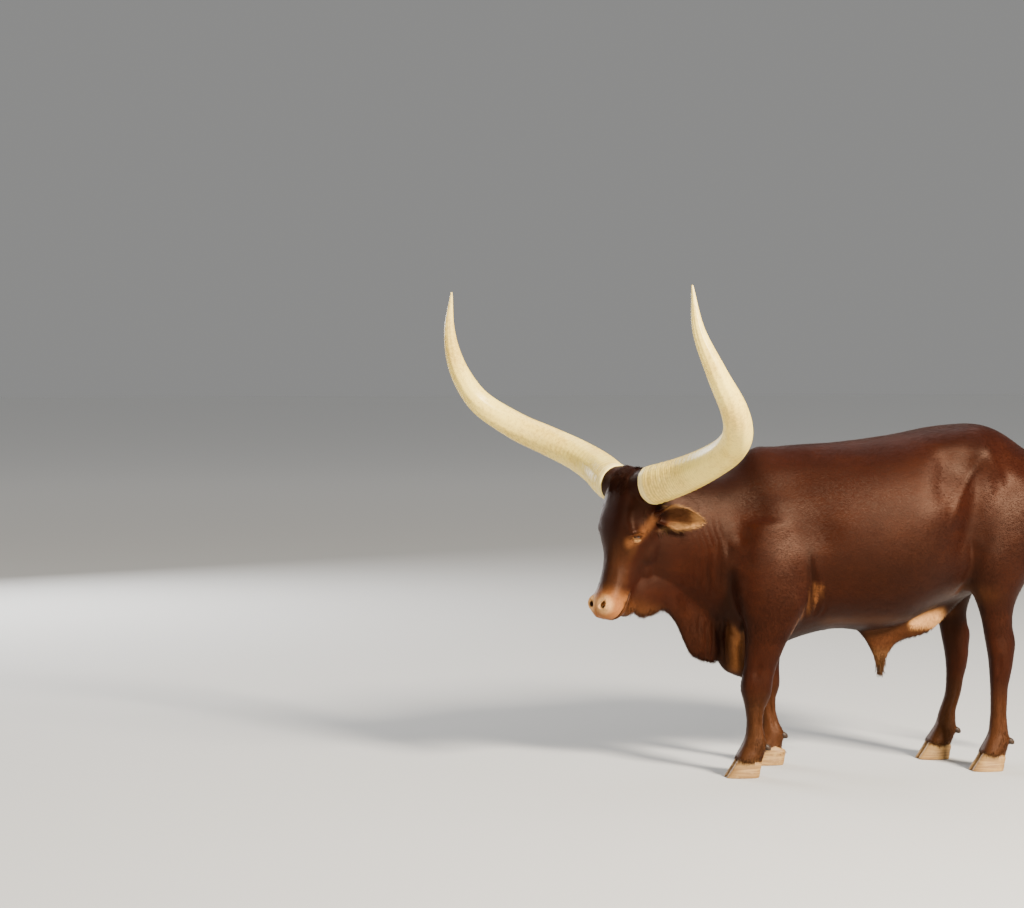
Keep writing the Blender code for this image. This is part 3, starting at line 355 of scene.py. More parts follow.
def ring_grid(centres, along, radii, sides):
    """Rings of points round a curve, grid[row, column, xyz]: a fixed side vector carried along it."""
    across = unit(np.cross(along, unit(np.cross(along[0], UP if abs(along[0][2]) < 0.9 else LEFT))))
    over = np.cross(along, across)
    turn = around(sides)[None, :, None]
    radii = np.reshape(radii, (len(centres), -1, 1))
    return centres[:, None] + radii * (np.cos(turn) * across[:, None] + np.sin(turn) * over[:, None])


def ringed(name, grid):
    """A closed mesh over grid[row, column, xyz]: rings of columns, each end fanned from its middle."""
    rows, columns = grid.shape[:2]
    index = np.arange(rows * columns).reshape(rows, columns)
    beside = np.roll(index, -1, axis=1)
    quads = np.stack([index[:-1], beside[:-1], beside[1:], index[1:]], axis=-1).reshape(-1, 4)
    first, last = rows * columns, rows * columns + 1
    ends = np.concatenate([np.column_stack([beside[0], index[0], np.full(columns, first)]),
                           np.column_stack([index[-1], beside[-1], np.full(columns, last)])])
    points = np.concatenate([grid.reshape(-1, 3), grid[:1].mean(axis=1), grid[-1:].mean(axis=1)])
    made = mesh_of(name, points + WITHERS, quads, ends)
    outward(made)
    return made


def tube(name, line, radii, rows, sides):
    """A closed round piece along a curve."""
    centres, along, radii, _ = line_rows(line, radii, rows)
    return ringed(name, ring_grid(centres, along, radii, sides))


def ball(name, centre, radius, rows=15):
    """A ball of rings about an upright axis."""
    share = np.linspace(-0.98, 0.98, rows) * math.pi / 2
    centres = centre + np.outer(radius * np.sin(share), UP)
    return ringed(name, ring_grid(centres, np.tile(UP, (rows, 1)), radius * np.cos(share), 24))


def reshaped(mesh, change, *sources):
    """Write a mesh anew from itself, or from other ones, after a change in bmesh."""
    shape = bmesh.new()
    for source in sources or (mesh,):
        shape.from_mesh(source)
    change(shape)
    shape.to_mesh(mesh)
    shape.free()


def outward(piece):
    """Turn a closed piece's faces outwards."""
    reshaped(piece.data, lambda shape: bmesh.ops.recalc_face_normals(shape, faces=shape.faces))


def read(rows, field, wide=1, kind=np.int32):
    """One field of a mesh's points, edges, faces or corners, as an array with a row for each."""
    found = np.zeros(len(rows) * wide, kind)
    rows.foreach_get(field, found)
    return found.reshape(-1, wide) if wide > 1 else found


def points_of(piece):
    """A piece's points and normals, from under the withers."""
    return (read(piece.data.vertices, "co", 3, np.float32) - WITHERS,
            read(piece.data.vertex_normals, "vector", 3, np.float32).astype(float))


def move_to(piece, points):
    """Put a piece's points somewhere else."""
    piece.data.vertices.foreach_set("co", np.asarray(points + WITHERS, np.float32).ravel())
    piece.data.update()


def reworked(piece, kind, weights=None, **settings):
    """Apply one modifier to a piece, everywhere alike or by weight, in twenty steps."""
    change = piece.modifiers.new(kind, kind)
    for word, setting in settings.items():
        setattr(change, word, setting)
    if weights is not None:
        group = piece.vertex_groups.new(name="weights")
        steps = np.rint(np.clip(weights, 0, 1) * 20).astype(int)
        for step in range(1, 21):
            group.add(np.flatnonzero(steps == step).tolist(), step / 20, "REPLACE")
        change.vertex_group = group.name
    graph = bpy.context.evaluated_depsgraph_get()
    mesh = bpy.data.meshes.new_from_object(piece.evaluated_get(graph))
    piece.modifiers.clear()
    piece.data = mesh
    piece.vertex_groups.clear()


def relax(piece, rounds, weights=None):
    """Smooth a piece's surface, everywhere alike or by weight."""
    reworked(piece, "SMOOTH", weights, factor=0.5, iterations=rounds)


def copied(node, swell):
    """A merged copy of a solid's mesh with its points moved out along their normals."""
    made = stood(node + "_copy", bpy.data.meshes.new(node + "_copy"))
    reshaped(made.data, lambda shape: bmesh.ops.remove_doubles(shape, verts=shape.verts, dist=1e-5),
             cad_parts[node].data)
    points, normals = points_of(made)
    move_to(made, points + swell * normals)
    return made


def only_largest(piece):
    """Drop every surface of a piece but the one with the most points, by labels passed along the edges."""
    first, second = read(piece.data.edges, "vertices", 2).T
    label = np.arange(len(piece.data.vertices))
    while True:
        low = np.minimum(label[first], label[second])
        fresh = label.copy()
        np.minimum.at(fresh, first, low)
        np.minimum.at(fresh, second, low)
        fresh = fresh[fresh]
        if np.array_equal(fresh, label):
            break
        label = fresh
    loose = np.flatnonzero(label != np.bincount(label).argmax())

    def drop(shape):
        """Delete the loose points."""
        shape.verts.ensure_lookup_table()
        bmesh.ops.delete(shape, geom=[shape.verts[i] for i in loose], context="VERTS")

    if len(loose):
        reshaped(piece.data, drop)


def refine(piece, chosen):
    """Cut the faces that hold chosen points into four."""
    wanted = np.flatnonzero(chosen[read(piece.data.edges, "vertices", 2)].all(axis=1))

    def cut(shape):
        """Halve the wanted edges."""
        shape.edges.ensure_lookup_table()
        bmesh.ops.subdivide_edges(shape, edges=[shape.edges[i] for i in wanted], cuts=1, use_grid_fill=True,
                                  smooth=0)

    reshaped(piece.data, cut)


def round_hips(piece, x, z, reach, rounds):
    """Smooth the knobs of the hip bones, which are at x, z from the side, into the rump."""
    points, _ = points_of(piece)
    knobs = bell(np.hypot(points[:, 0] - x, points[:, 2] - z), reach)
    relax(piece, rounds, knobs * (np.abs(points[:, 1]) > 0.15))


def raw_hide():
    """The flesh solids and what fills their seats, grown into one skin and smoothed free of facets."""
    pieces = [copied(node, SWELL) for node in FLESH]
    pieces += [copied(f"{part}_{foot}_{which}", -SHRINK)
               for foot in FEET for which in ("inner", "outer") for part in ("claw", "dewclaw")]
    pieces.append(tube("tail", TAIL_LINE, np.array(TAIL_RADII) - TAIL_SHRINK, 140, 36))
    for side in SIDES:
        root, out = [HEAD_AT + from_head(place, side) for place in HORN_LINE[:2]]
        pieces += [tube("horn_seat", [2 * root - out, root, out], HORN_SEAT_RADII, 12, 32),
                   ball("eye_seat", on_head(EYE_PLACE, side), EYE_SEAT),
                   ball("ear_seat", on_head(EAR_ROOT, side) - 0.004 * from_head(EAR_POINTS, side), EAR_SEAT)]
    whole = stood("hide", bpy.data.meshes.new("hide"))
    reshaped(whole.data, lambda shape: shape.normal_update(), *[piece.data for piece in pieces])
    for piece in pieces:
        bpy.data.objects.remove(piece)
    reworked(whole, "REMESH", mode="VOXEL", voxel_size=HIDE_GRAIN)
    only_largest(whole)
    x, _, z = points_of(whole)[0].T
    tail = soft(x, 1.225, 1.24) * soft(z, 1.3, 1.25)
    behind_head = soft(x, -0.44, -0.34) * (1 - 0.85 * tail)
    relax(whole, HEAD_ROUNDS, 1 - 0.7 * tail)
    relax(whole, BODY_ROUNDS, behind_head)
    relax(whole, TRUNK_ROUNDS, behind_head * soft(z, 0.62, 0.74) * (1 - tail))
    round_hips(whole, 0.852, 1.37, 0.055, 140)
    return whole


def eye_frame(side):
    """An eye's centre and its outward, lengthways (to the front) and upward directions."""
    outward_way = unit(LEFT * side + 0.25 * FORWARD)
    front = unit(FORWARD - outward_way * (FORWARD @ outward_way))
    return on_head(EYE_PLACE, side), outward_way, front, -side * np.cross(outward_way, front)


def in_eye(points, side):
    """How far points are to the front of an eye's centre, above it and out from it."""
    centre, outward_way, front, upward = eye_frame(side)
    local = points - centre
    return local @ front, local @ upward, local @ outward_way


def away_from(points, *places):
    """How far points are from the nearest of some places."""
    return np.min([np.linalg.norm(points - place, axis=1) for place in places], axis=0)


def mouth_line(points):
    """How far points are above the line of the mouth."""
    along, _, raised = in_head(points)
    return raised + MOUTH_DROP - MOUTH_SLOPE * (along - MOUTH_AT)


def lids(points, side):
    """Lids about a nearly closed eye: the slit pushed in, both rims rolled, folds above, wrinkles below."""
    a, b, c = in_eye(points, side)
    near = soft(c, 0.0, 0.008) * soft(away_from(points, on_head(EYE_PLACE, side)), 0.06, 0.045)
    arch = 1 - np.clip(np.abs(a) / 0.0225, 0, 1) ** 2
    slit = np.sqrt((a / 0.0205) ** 2 + ((b + 0.0015) / 0.0062) ** 2)
    rise = -0.0125 * soft(slit, 1.12, 0.7)
    rise += 0.003 * bell(slit - 1.42, 0.36) * soft(1.3 - slit * 0.3, 0, 1)
    rise -= 0.0034 * bell(b - 0.0085 - 0.006 * arch, 0.0022) * soft(np.abs(a), 0.034, 0.022)
    rise += 0.0042 * bell(b - 0.0165 - 0.006 * arch, 0.0062) * soft(np.abs(a), 0.042, 0.026)
    for step, (drop, deep) in enumerate(((0.01, 0.0022), (0.0165, 0.0024), (0.0235, 0.0016))):
        line = b + drop + 0.004 * arch * (1 + step * 0.4)
        rise -= deep * bell(line, 0.0021) * soft(np.abs(a), 0.032, 0.02)
    corner = bell(b + 0.004 + 0.55 * (a - 0.02), 0.0026)
    rise -= 0.0026 * corner * soft(a, 0.016, 0.022) * soft(a, 0.05, 0.034)
    return points + eye_frame(side)[1] * (rise * near)[:, None]


def nostril(points, side):
    """A slanting comma pushed in, with a rolled rim."""
    outward_way = unit(0.72 * OUT_OF_BROW + 0.5 * LEFT * side + 0.42 * DOWN_FACE)
    long = unit(-0.62 * DOWN_FACE + 0.66 * LEFT * side + 0.1 * OUT_OF_BROW)
    long = unit(long - outward_way * (long @ outward_way))
    short = np.cross(outward_way, long)
    local = points - on_head(NOSTRIL_PLACE, side)
    a, b, c = local @ long, local @ short, local @ outward_way
    b = b + 9.0 * a**2 * np.sign(short @ DOWN_FACE)
    ring = np.sqrt((a / 0.0165) ** 2 + (b / 0.0085) ** 2)
    rise = -0.023 * soft(ring, 1.12, 0.62) + 0.003 * bell(ring - 1.55, 0.4)
    return points + outward_way * (rise * soft(c, -0.022, -0.01) * (ring < 3))[:, None]


def lips(points, normals):
    """The mouth's line with a roll of lip on both sides, the groove under the nose and the corner's folds."""
    along, out, raised = in_head(points)
    line = mouth_line(points)
    rise = -0.005 * bell(line, 0.0036) + 0.0012 * (bell(line - 0.01, 0.006) + bell(line + 0.01, 0.006))
    rise = rise * soft(along, 0.445, 0.475)
    rise -= 0.0022 * bell(out, 0.0028) * soft(along, 0.54, 0.56) * soft(raised, -0.04, -0.01)
    for start, deep in ((0.47, 0.0012), (0.452, 0.001), (0.432, 0.0008)):
        rise -= deep * bell(along - start - 0.5 * np.maximum(-line, 0), 0.003) * bell(line, 0.03)
    rise *= soft(points[:, 0], -0.5, -0.55)
    return points + normals * rise[:, None]


def on_path(points, path):
    """How far points are from a broken line, and how far along it, from 0 to 1, their nearest places are."""
    path = np.array(path, float)
    run = np.r_[0, np.cumsum(np.linalg.norm(np.diff(path, axis=0), axis=1))]
    nearest, place = np.full(len(points), np.inf), np.zeros(len(points))
    for start, end, before in zip(path[:-1], path[1:], run[:-1]):
        way = end - start
        share = np.clip((points - start) @ way / (way @ way), 0, 1)
        distance = np.linalg.norm(points - start - share[:, None] * way, axis=1)
        place = np.where(distance < nearest, (before + share * np.linalg.norm(way)) / run[-1], place)
        nearest = np.minimum(nearest, distance)
    return nearest, place


def distance_to(points, *paths):
    """How far points are from the nearest of some broken lines."""
    return np.min([on_path(points, path)[0] for path in paths], axis=0)


def legs(points, back=0.07):
    """Each foot's sideways place, toes and heel, and which points are about its leg."""
    x, y, _ = points.T
    for sideways, toe, heel in FEET.values():
        about = (np.abs(y - sideways) < 0.11) & (np.abs(x - (toe + heel) / 2 - back) < 0.2)
        yield sideways, toe, heel, about


def coronet(points):
    """A soft band round the top of each hoof, under which the hide drops inside the hoof."""
    x, _, z = points.T
    rise = np.zeros(len(points))
    for _, toe, heel, about in legs(points):
        over = z - np.interp(x, [toe + 0.045, heel + 0.015], [0.079, 0.053])
        band = 0.0012 * bell(over - 0.009, 0.009) - 0.0045 * soft(over, 0.001, -0.004)
        rise += band * (about & (z < 0.15))
    return rise


def sinews(points):
    """The grooves between bone and tendon on both sides of each lower leg, and the hollows beside the knees.

    They are measured from the leg's middle at each level, which is the mean of its points there.
    """
    x, y, z = points.T
    rise = np.zeros(len(points))
    for sideways, _, _, about in legs(points):
        here = np.flatnonzero(about & (z > 0.1) & (z < 0.62))
        step = (z[here] * 50).astype(int)
        found = np.bincount(step, minlength=40)
        middle = np.bincount(step, x[here], minlength=40) / np.maximum(found, 1)
        level = (np.arange(40) + 0.5) / 50
        back = x[here] - np.interp(z[here], level[found > 8], middle[found > 8])
        groove = bell(back - 0.01 + 0.05 * (z[here] - 0.24), 0.0065) * bell(z[here] - 0.245, 0.07)
        hollow = bell(back + 0.02, 0.014) * bell(z[here] - 0.455, 0.04)
        ridge = bell(back + 0.014, 0.008) * bell(z[here] - 0.245, 0.075)
        side = soft(np.abs(y[here] - sideways), 0.008, 0.02)
        rise[here] += side * (0.0028 * ridge - 0.0064 * groove - 0.0056 * hollow)
    return rise


def creased(points, normals):
    """Grooves with soft banks along CREASES, faint ones on the right, the hollows of the hip, fine wrinkles
    where the neck bends and across the knees, and the forms of the lower legs."""
    rise = np.zeros(len(points))
    for path, wide, deep, bank in CREASES:
        for side, share in ((1, 1.0), (-1, 0.4)):
            mirrored = np.array(path) * (1, side, 1)
            low, high = mirrored.min(axis=0) - 5 * wide, mirrored.max(axis=0) + 5 * wide
            close = np.flatnonzero(((points > low) & (points < high)).all(axis=1))
            distance, place = on_path(points[close], mirrored)
            fade = soft(place, 0.0, 0.3) * soft(place, 1.0, 0.78)
            ratio = distance / (wide * (0.55 + 0.45 * fade))
            rise[close] -= deep * share * fade * (bell(ratio, 1.0) - bank * bell(ratio - 2.1, 0.9))
    x, y, z = points.T
    for path, wide, deep in HOLLOWS:
        distance, place = on_path(points * (1, 0, 1), path)
        fade = soft(place, -0.05, 0.25) * soft(place, 1.0, 0.65) * soft(np.abs(y), 0.06, 0.14)
        rise -= deep * fade * bell(distance, wide)
    bend = soft(x, -0.44, -0.36) * soft(x, -0.24, -0.29) * soft(z, 0.74, 0.84) * soft(z, 1.16, 1.0)
    ripple = np.sin(2 * math.pi * (x + 0.16 * (z - 0.95) + 0.006 * np.sin(z * 31)) / 0.026)
    rise += 0.0007 * ripple * bend * np.where(y < 0, 1.0, 0.3)
    for sideways, toe, _ in (FEET["front_left"], FEET["front_right"]):
        knee = bell(z - 0.385, 0.04) * (np.abs(y - sideways) < 0.1) * soft(x, toe + 0.1, toe + 0.07)
        wave = np.sin(2 * math.pi * (z + 0.5 * (y - sideways) ** 2 / 0.08) / 0.019 + 40 * x)
        rise += (0.003 + 0.0007 * wave) * knee * (x < 0.4)
    rise += coronet(points) + sinews(points)
    return points + normals * rise[:, None]


def ear(side):
    """A leaf rolled into a cup, its rim thin and round, with long folds inside.

    Across it, s runs -1..1 from rim to rim, and its two faces lie thick / 2 * |sin|^0.7 of the turn round
    its section off the middle sheet.
    """
    points_to = unit(from_head(EAR_POINTS, side))
    opens = from_head(EAR_OPENS, side)
    opens = unit(opens - points_to * (opens @ points_to))
    across = np.cross(points_to, opens)
    place, wide, deep, wrap, thick, droop = rows_between(EAR_SECTIONS, 64).T[..., None]
    turn = around(56)[None, :]
    s, face = np.cos(turn), np.sin(turn)
    half = thick / 2 * np.sign(face) * np.abs(face) ** 0.7
    folds = 0.0016 * np.cos(9.0 * s) * (face > 0) * soft(place, 0.1, 0.25) * soft(place, 0.95, 0.7)
    folds = folds * (1 - s**2)
    inwards = half + thick / 2 + folds
    sideways = wide * (1.0 - inwards / wide) * np.sin(np.radians(wrap) * s)
    depth = deep * (1.0 - inwards / deep) * np.cos(np.radians(wrap) * s)
    wave = 0.003 * np.sin(9 * place + 1.2 * s) * soft(place, 0.3, 0.6) * np.abs(s)
    centre = (on_head(EAR_ROOT, side) + points_to * (EAR_LENGTH * place - EAR_SUNK)[..., None]
              - UP * (droop - wave)[..., None])
    return ringed("ear", centre + across * sideways[..., None] - opens * depth[..., None])


def united(whole, pieces):
    """Unite closed pieces with a closed piece in one Boolean, and drop them."""
    group = bpy.data.collections.new("pieces")
    for piece in pieces:
        group.objects.link(piece)
    reworked(whole, "BOOLEAN", operation="UNION", operand_type="COLLECTION", solver="MANIFOLD",
             collection=group)
    for piece in pieces:
        bpy.data.objects.remove(piece)
    bpy.data.collections.remove(group)


def features(points, eyes, nostrils, mouth):
    """Which points are this near to the eyes, to the nostrils and to the line of the mouth."""
    lip = (in_head(points)[0] > 0.44) & (np.abs(mouth_line(points)) < mouth) & (points[:, 0] < -0.5)
    return (away_from(points, *EYES) < eyes) | (away_from(points, *NOSTRILS) < nostrils) | lip


def from_ears(points):
    """How far points are from the middle lines of the ears and from their roots."""
    return distance_to(points, *ear_lines), away_from(points, *[line[0] for line in ear_lines])


EYES, NOSTRILS = zip(*[(on_head(EYE_PLACE, side), on_head(NOSTRIL_PLACE, side)) for side in SIDES])
ear_lines = [[on_head(EAR_ROOT, side) + unit(from_head(EAR_POINTS, side)) * run
              for run in (-0.01, EAR_LENGTH)] for side in SIDES]
hide = raw_hide()
points, normals = points_of(hide)
depth = COAT_DEPTH_HEAD + (COAT_DEPTH_BODY - COAT_DEPTH_HEAD) * soft(points[:, 0], -0.5, -0.4)
depth *= soft(points[:, 2], 0.1, 0.3)
move_to(hide, creased(points - normals * depth[:, None], normals))
round_hips(hide, 0.862, 1.367, 0.06, 120)
refine(hide, features(points_of(hide)[0], 0.055, 0.04, 0.024))
relax(hide, 3, 1.0 * features(points_of(hide)[0], 0.052, 0.0, 0.0))
refine(hide, features(points_of(hide)[0], 0.036, 0.028, 0.01))
points = lips(*points_of(hide))
for side in SIDES:
    points = nostril(lids(points, side), side)
move_to(hide, points)
relax(hide, 2, 0.6 * features(points, 0.045, 0.035, 0.0))
united(hide, [ear(1), ear(-1)])
ears, ear_roots = from_ears(points_of(hide)[0])
relax(hide, 5, soft(ear_roots, 0.044, 0.026))
keep = features(points_of(hide)[0], 0.04, 0.032, 0.012) | ((ears < 0.062) & (ear_roots > 0.02))
corners = read(hide.data.polygons, "loop_total")
reworked(hide, "DECIMATE", np.where(keep, 0.0, 1.0), vertex_group_factor=1.0,
         ratio=HIDE_FACES / float((corners - 2).sum()), use_collapse_triangulate=True)
hide.data.shade_smooth()
outward(hide)

MAHOGANY_DARK, MAHOGANY, CHESTNUT = (0.0105, 0.0015, 0.0004), (0.018, 0.0025, 0.0005), (0.038, 0.0075, 0.0013)
# The dark colour serves both for dark hair and for painted shade in the creases, nostrils and mouth and on
# the low flank, thigh, jaw and neck crest.
TAN, CREAM, DARK_HAIR_AND_SHADE = (0.27, 0.098, 0.028), (0.7, 0.38, 0.14), (0.006, 0.002, 0.0012)
DARK_NOSTRILS = [on_head((0.534, 0.037, 0.046), side) for side in SIDES]
# The brows: tan hair round the eye and a painted highlight along the brow ridge up towards the ear.
BROW_TAN_AND_HIGHLIGHT = on_both((0.262, 0.088, 0.024), (0.236, 0.1, 0.004), (0.196, 0.104, -0.018), (0.15, 0.106, -0.048))
CHEEKS = on_both((0.28, 0.096, 0.0), (0.42, 0.074, -0.018))
ELBOW = [(0.115, -0.24, 0.8), (0.1, -0.23, 0.72), (0.03, -0.19, 0.62)]


def markings(points):
    """How tan, how pale and how dark the animal is at points: the strongest patch of each, from 0 to 1.
    Besides the hair's own colours, the dark holds painted shade and the tan and pale hold painted highlights.
    """
    x, y, z = points.T
    along, out, raised = in_head(points)
    line = mouth_line(points)
    aside, off = np.abs(out), np.abs(y)
    face, upper = soft(x, -0.47, -0.53), soft(line, -0.002, 0.006)
    eyes, nostrils = away_from(points, *EYES), away_from(points, *DARK_NOSTRILS)
    ears, ear_roots = from_ears(points)
    on_ear = soft(ears, 0.066, 0.056) * soft(ear_roots, 0.045, 0.085)
    tips = soft(ear_roots, 0.13, 0.185) * on_ear
    sheath = soft(x, 0.36, 0.42) * soft(z, 0.72, 0.63) * soft(off, 0.05, 0.03) * (x < 0.95)
    # behind: the upper rear of the sheath, tan hair made paler still by a painted pool of light where it
    # faces the light.
    behind = sheath * soft(x, 0.57, 0.62) * soft(x, 0.8, 0.74) * soft(z, 0.585, 0.62)
    brisket = bell(x + 0.182, 0.034) * soft(z, 0.72, 0.62) * soft(z, 0.4, 0.46) * soft(off, 0.115, 0.085)
    # Streaks behind the elbow: tan hair and painted highlights on the skin folds there.
    elbow_tan_and_highlights = soft(distance_to(np.column_stack([x, -off, z]), ELBOW), 0.048, 0.01)
    elbow_tan_and_highlights = elbow_tan_and_highlights * (0.65 + 0.35 * np.sin(2 * math.pi * (x + 0.1 * z) / 0.026))
    flank = bell(x - 0.8, 0.14) * bell(z - 0.76, 0.06)
    # edge: a painted highlight, a tan line along the lower edge of the belly.
    edge = bell(z - 0.655, 0.03) * soft(x, 0.1, 0.2) * soft(x, 0.92, 0.82)
    nose = soft(along, 0.415, 0.53) * (0.35 + 0.65 * upper)
    tan = np.maximum.reduce([
        face * soft(distance_to(points, *BROW_TAN_AND_HIGHLIGHT), 0.048, 0.004) * 0.42,
        face * soft(distance_to(points, *CHEEKS), 0.045, 0.0) * 0.2,
        on_ear * (0.3 + 0.25 * tips), sheath * 0.22, behind * 0.9, brisket * 0.85, elbow_tan_and_highlights * 0.46, flank * 0.22,
        edge * 0.24, face * nose * 0.78, soft(z, 0.46, 0.16) * 0.17])
    # sides: a painted sheen, a little pale laid on the side of the face as if lit from the sky.
    sides = face * soft(along, 0.14, 0.3) * soft(along, 0.52, 0.44) * soft(raised, -0.05, 0.015)
    hanging = soft(x, -0.26, -0.3) * soft(z, 0.8, 0.68)
    lower_lid = bell(eyes - 0.0225, 0.0035) * soft(along, EYE_PLACE[0] + 0.002, EYE_PLACE[0] + 0.012)
    rim = soft(ears, 0.03, 0.05) * 0.35 + tips * 0.4
    pale = np.maximum.reduce([
        soft(nostrils, 0.058, 0.018) * upper * face * 0.72, rim * on_ear, face * lower_lid * 0.45,
        behind * 0.52, sheath * soft(z, 0.56, 0.48) * 0.16, soft(z, 0.1, 0.06) * 0.25, sides * 0.08,
        hanging * 0.045, soft(z, 0.5, 0.28) * 0.085])
    # mouth: painted shade along the groove between the lips.
    mouth = bell(line, 0.0036) * soft(along, 0.445, 0.475) * face
    forehead = face * soft(along, 0.2, -0.02) * soft(aside, 0.105, 0.035) * soft(raised, -0.03, 0.05)
    poll = bell(along - 0.005, 0.03) * face * soft(aside, 0.105, 0.055)
    # folds: painted shade along the creases, strongest in the narrow deep ones.
    folds = np.max([soft(distance_to(points, path), 2.2 * wide, 0.0) * min(deep / 0.012, 1.0)
                    * min(0.018 / wide, 1.0) for path, wide, deep, _ in CREASES[:-1]], axis=0)
    # crest: the neck's top darkened, partly a bull's darker hair and partly painted shade that damps the
    # lamps' highlight there.
    dark_crest_and_shade = soft(x, -0.5, -0.42) * soft(x, -0.02, -0.16) * soft(z, 1.1, 1.2)
    # The lower flank, the thigh and the jaw are darkened: painted shade on parts that lie in shade.
    low_side_shade = soft(x, 0.06, 0.22) * bell(z - 0.86, 0.15) * soft(x, 1.0, 0.88)
    thigh_shade = soft(x, 0.72, 0.8) * bell(z - 1.0, 0.2)
    jaw = face * soft(along, 0.12, 0.2) * soft(along, 0.44, 0.34) * soft(raised, -0.03, -0.07)
    # The nostrils are painted dark inside: painted shade in their hollows.
    dark = np.maximum.reduce([
        soft(nostrils, 0.0175, 0.011) * face, mouth * 0.85, forehead * 0.14, poll * 0.2, folds * 0.8,
        face * soft(eyes, 0.0215, 0.0185) * 0.8, soft(x, 1.24, 1.26) * soft(z, 0.95, 0.65) * 0.8,
        dark_crest_and_shade * 0.5, low_side_shade * 0.34, thigh_shade * 0.3, jaw * 0.34])
    return np.column_stack([tan, pale, dark])


def lie_of(points, normals):
    """The way the hair lies: back along the trunk, turning down the legs and tail, down the face and out
    along the ears, with a slow swirl."""
    x, y, z = points.T
    way = np.tile([1.0, 0.0, -0.3], (len(points), 1))
    turns = [(soft(z, 0.84, 0.62), np.array([0.15, 0.0, -1.0])),
             (soft(x, 1.222, 1.24) * soft(z, 1.31, 1.27), -UP),
             (soft(x, -0.46, -0.54), DOWN_FACE + 0.1 * np.sign(in_head(points)[1])[:, None] * LEFT)]
    turns += [(soft(distance_to(points, line), 0.066, 0.05), unit(from_head(EAR_POINTS, side)))
              for side, line in zip(SIDES, ear_lines)]
    for share, towards in turns:
        way = way * (1 - share[:, None]) + share[:, None] * towards
    swirl = 0.22 * np.sin(11 * x + 7 * z + 3 * y) + 0.15 * np.sin(23 * z - 17 * x + 5 * y)
    way = unit(way - normals * np.sum(way * normals, axis=1, keepdims=True))
    return unit(way * np.cos(swirl)[:, None] + np.cross(normals, way) * np.sin(swirl)[:, None])


def store(piece, name, values):
    """Keep a number or a colour for each of a piece's points."""
    kind, field = ("FLOAT", "value") if values.ndim == 1 else ("FLOAT_COLOR", "color")
    layer = piece.data.attributes.new(name, kind, "POINT")
    layer.data.foreach_set(field, values.astype(np.float32).ravel())


def mark(piece, points, each=1):
    """Store the markings, and how far the hair lies downwards, where each place stands for some points."""
    masks = np.column_stack([markings(points), np.ones(len(points))])
    store(piece, "marks", np.repeat(masks, each, axis=0))
    store(piece, "lies", np.repeat(soft(points[:, 2], 0.84, 0.62), each))


def hair_finish(name, bumps, *pieces):
    """Short glossy hair: mahogany clouded with darker and chestnut hair, the markings with their painted
    shade and highlights, and fine streaks.

    Its bumps are the streaks, the cells of the leather where it is pale, and low hills.
    """
    made = Finish(name, Specular_IOR_Level=0.16, Specular_Tint=(1.0, 0.62, 0.42, 1.0), Sheen_Weight=0.02,
                  Sheen_Roughness=0.42, Sheen_Tint=(0.9, 0.66, 0.55, 1.0))
    masks = made.node("SeparateColor", {}, {0: made.held("marks", "Color")}).socket.node.outputs
    tan, pale, dark = [Value(made, socket) for socket in masks]
    down = made.held("lies")
    broad = made.noise(2.2, 4.0, 0.6)
    middle = made.noise(13.0, 4.0, 0.6, (0.5, 1, 1))
    fine = made.noise(60.0, 4.0, 0.65)
    back, low = [made.noise(430.0, 2.0, 0.6, stretch) for stretch in ((0.1, 1, 1), (1, 1, 0.1))]
    streak = back * (1 - down) + low * down
    colour = made.blend(made.between(broad, 0.34, 0.7) * 0.7 + 0.3, MAHOGANY_DARK, MAHOGANY)
    colour = made.blend(made.between(middle, 0.4, 0.78) * 0.28, colour, CHESTNUT)
    colour = made.blend(made.between(tan, 0.02, 0.98) * (0.62 + fine * 0.7), colour, TAN)
    colour = made.blend(made.between(pale, 0.02, 0.98) * (0.42 + fine * 1.05), colour, CREAM)
    colour = made.blend(dark * (0.75 + fine * 0.5), colour, DARK_HAIR_AND_SHADE)
    colour = made.shade(colour, made.between(streak, 0.05, 0.95) * 0.75 + 0.62)
    relief = {}
    if bumps:
        cells = made.node("TexVoronoi", {"feature": "DISTANCE_TO_EDGE"},
                          {"Vector": made.place(), "Scale": 330.0})
        leather = made.between(cells, 0.0, 0.22) * made.between(pale, 0.3, 0.7)
        leather = made.bump(leather, 0.0008, 0.5, Normal=made.bump(streak, 0.0009, 0.6))
        relief["Normal"] = made.bump(broad, 0.01, 0.15, Normal=leather)
    return made.done(*pieces, Base_Color=colour, Roughness=0.41 + streak * 0.14 + pale * 0.08, **relief)


def fitted(piece, slot, *nodes):
    """Ride a piece on the model's body in the place of its solids."""
    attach(piece, "root")
    if nodes:
        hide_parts(*nodes)
    return piece


hair_finish("hide", True, hide)
hide_points, hide_normals = points_of(hide)
mark(hide, hide_points)
fitted(hide, "coat", *FLESH, "tail", "ear_left", "ear_right")

# Short coat
# The hair itself, lying close along the body: thin flat tufts rooted in the hide, small on the face and
# feet and longer on the trunk, so that it breaks the edge of the form on every side.

COAT_FINISH = hair_finish("coat", False)
TUFT_PATCH, ROOT_SINK = 0.003, 0.0012
COAT_THICK, COAT_CURL, COAT_OWN_NORMALS = 0.0004, 0.16, 0.34
TRUNK_COAT = (45000, 0.0175, 0.003, 0.0016)
# Each piece of the coat: how many tufts, their length and width, and the lift of their tips
COATS = {"coat_head": (42000, 0.0085, 0.0015, 0.001), "coat_neck": (44000, 0.015, 0.0024, 0.0016),
         "coat_fore_left": TRUNK_COAT, "coat_fore_right": TRUNK_COAT,
         "coat_rear_left": TRUNK_COAT, "coat_rear_right": TRUNK_COAT,
         "coat_legs": (44000, 0.011, 0.002, 0.0012), "coat_folds": (10000, 0.016, 0.0024, 0.0018)}


def turn_share(sideways, upwards):
    """A direction's turn round an axis, from 0 to 1."""
    return 0.5 + np.arctan2(sideways, upwards) / (2 * math.pi)


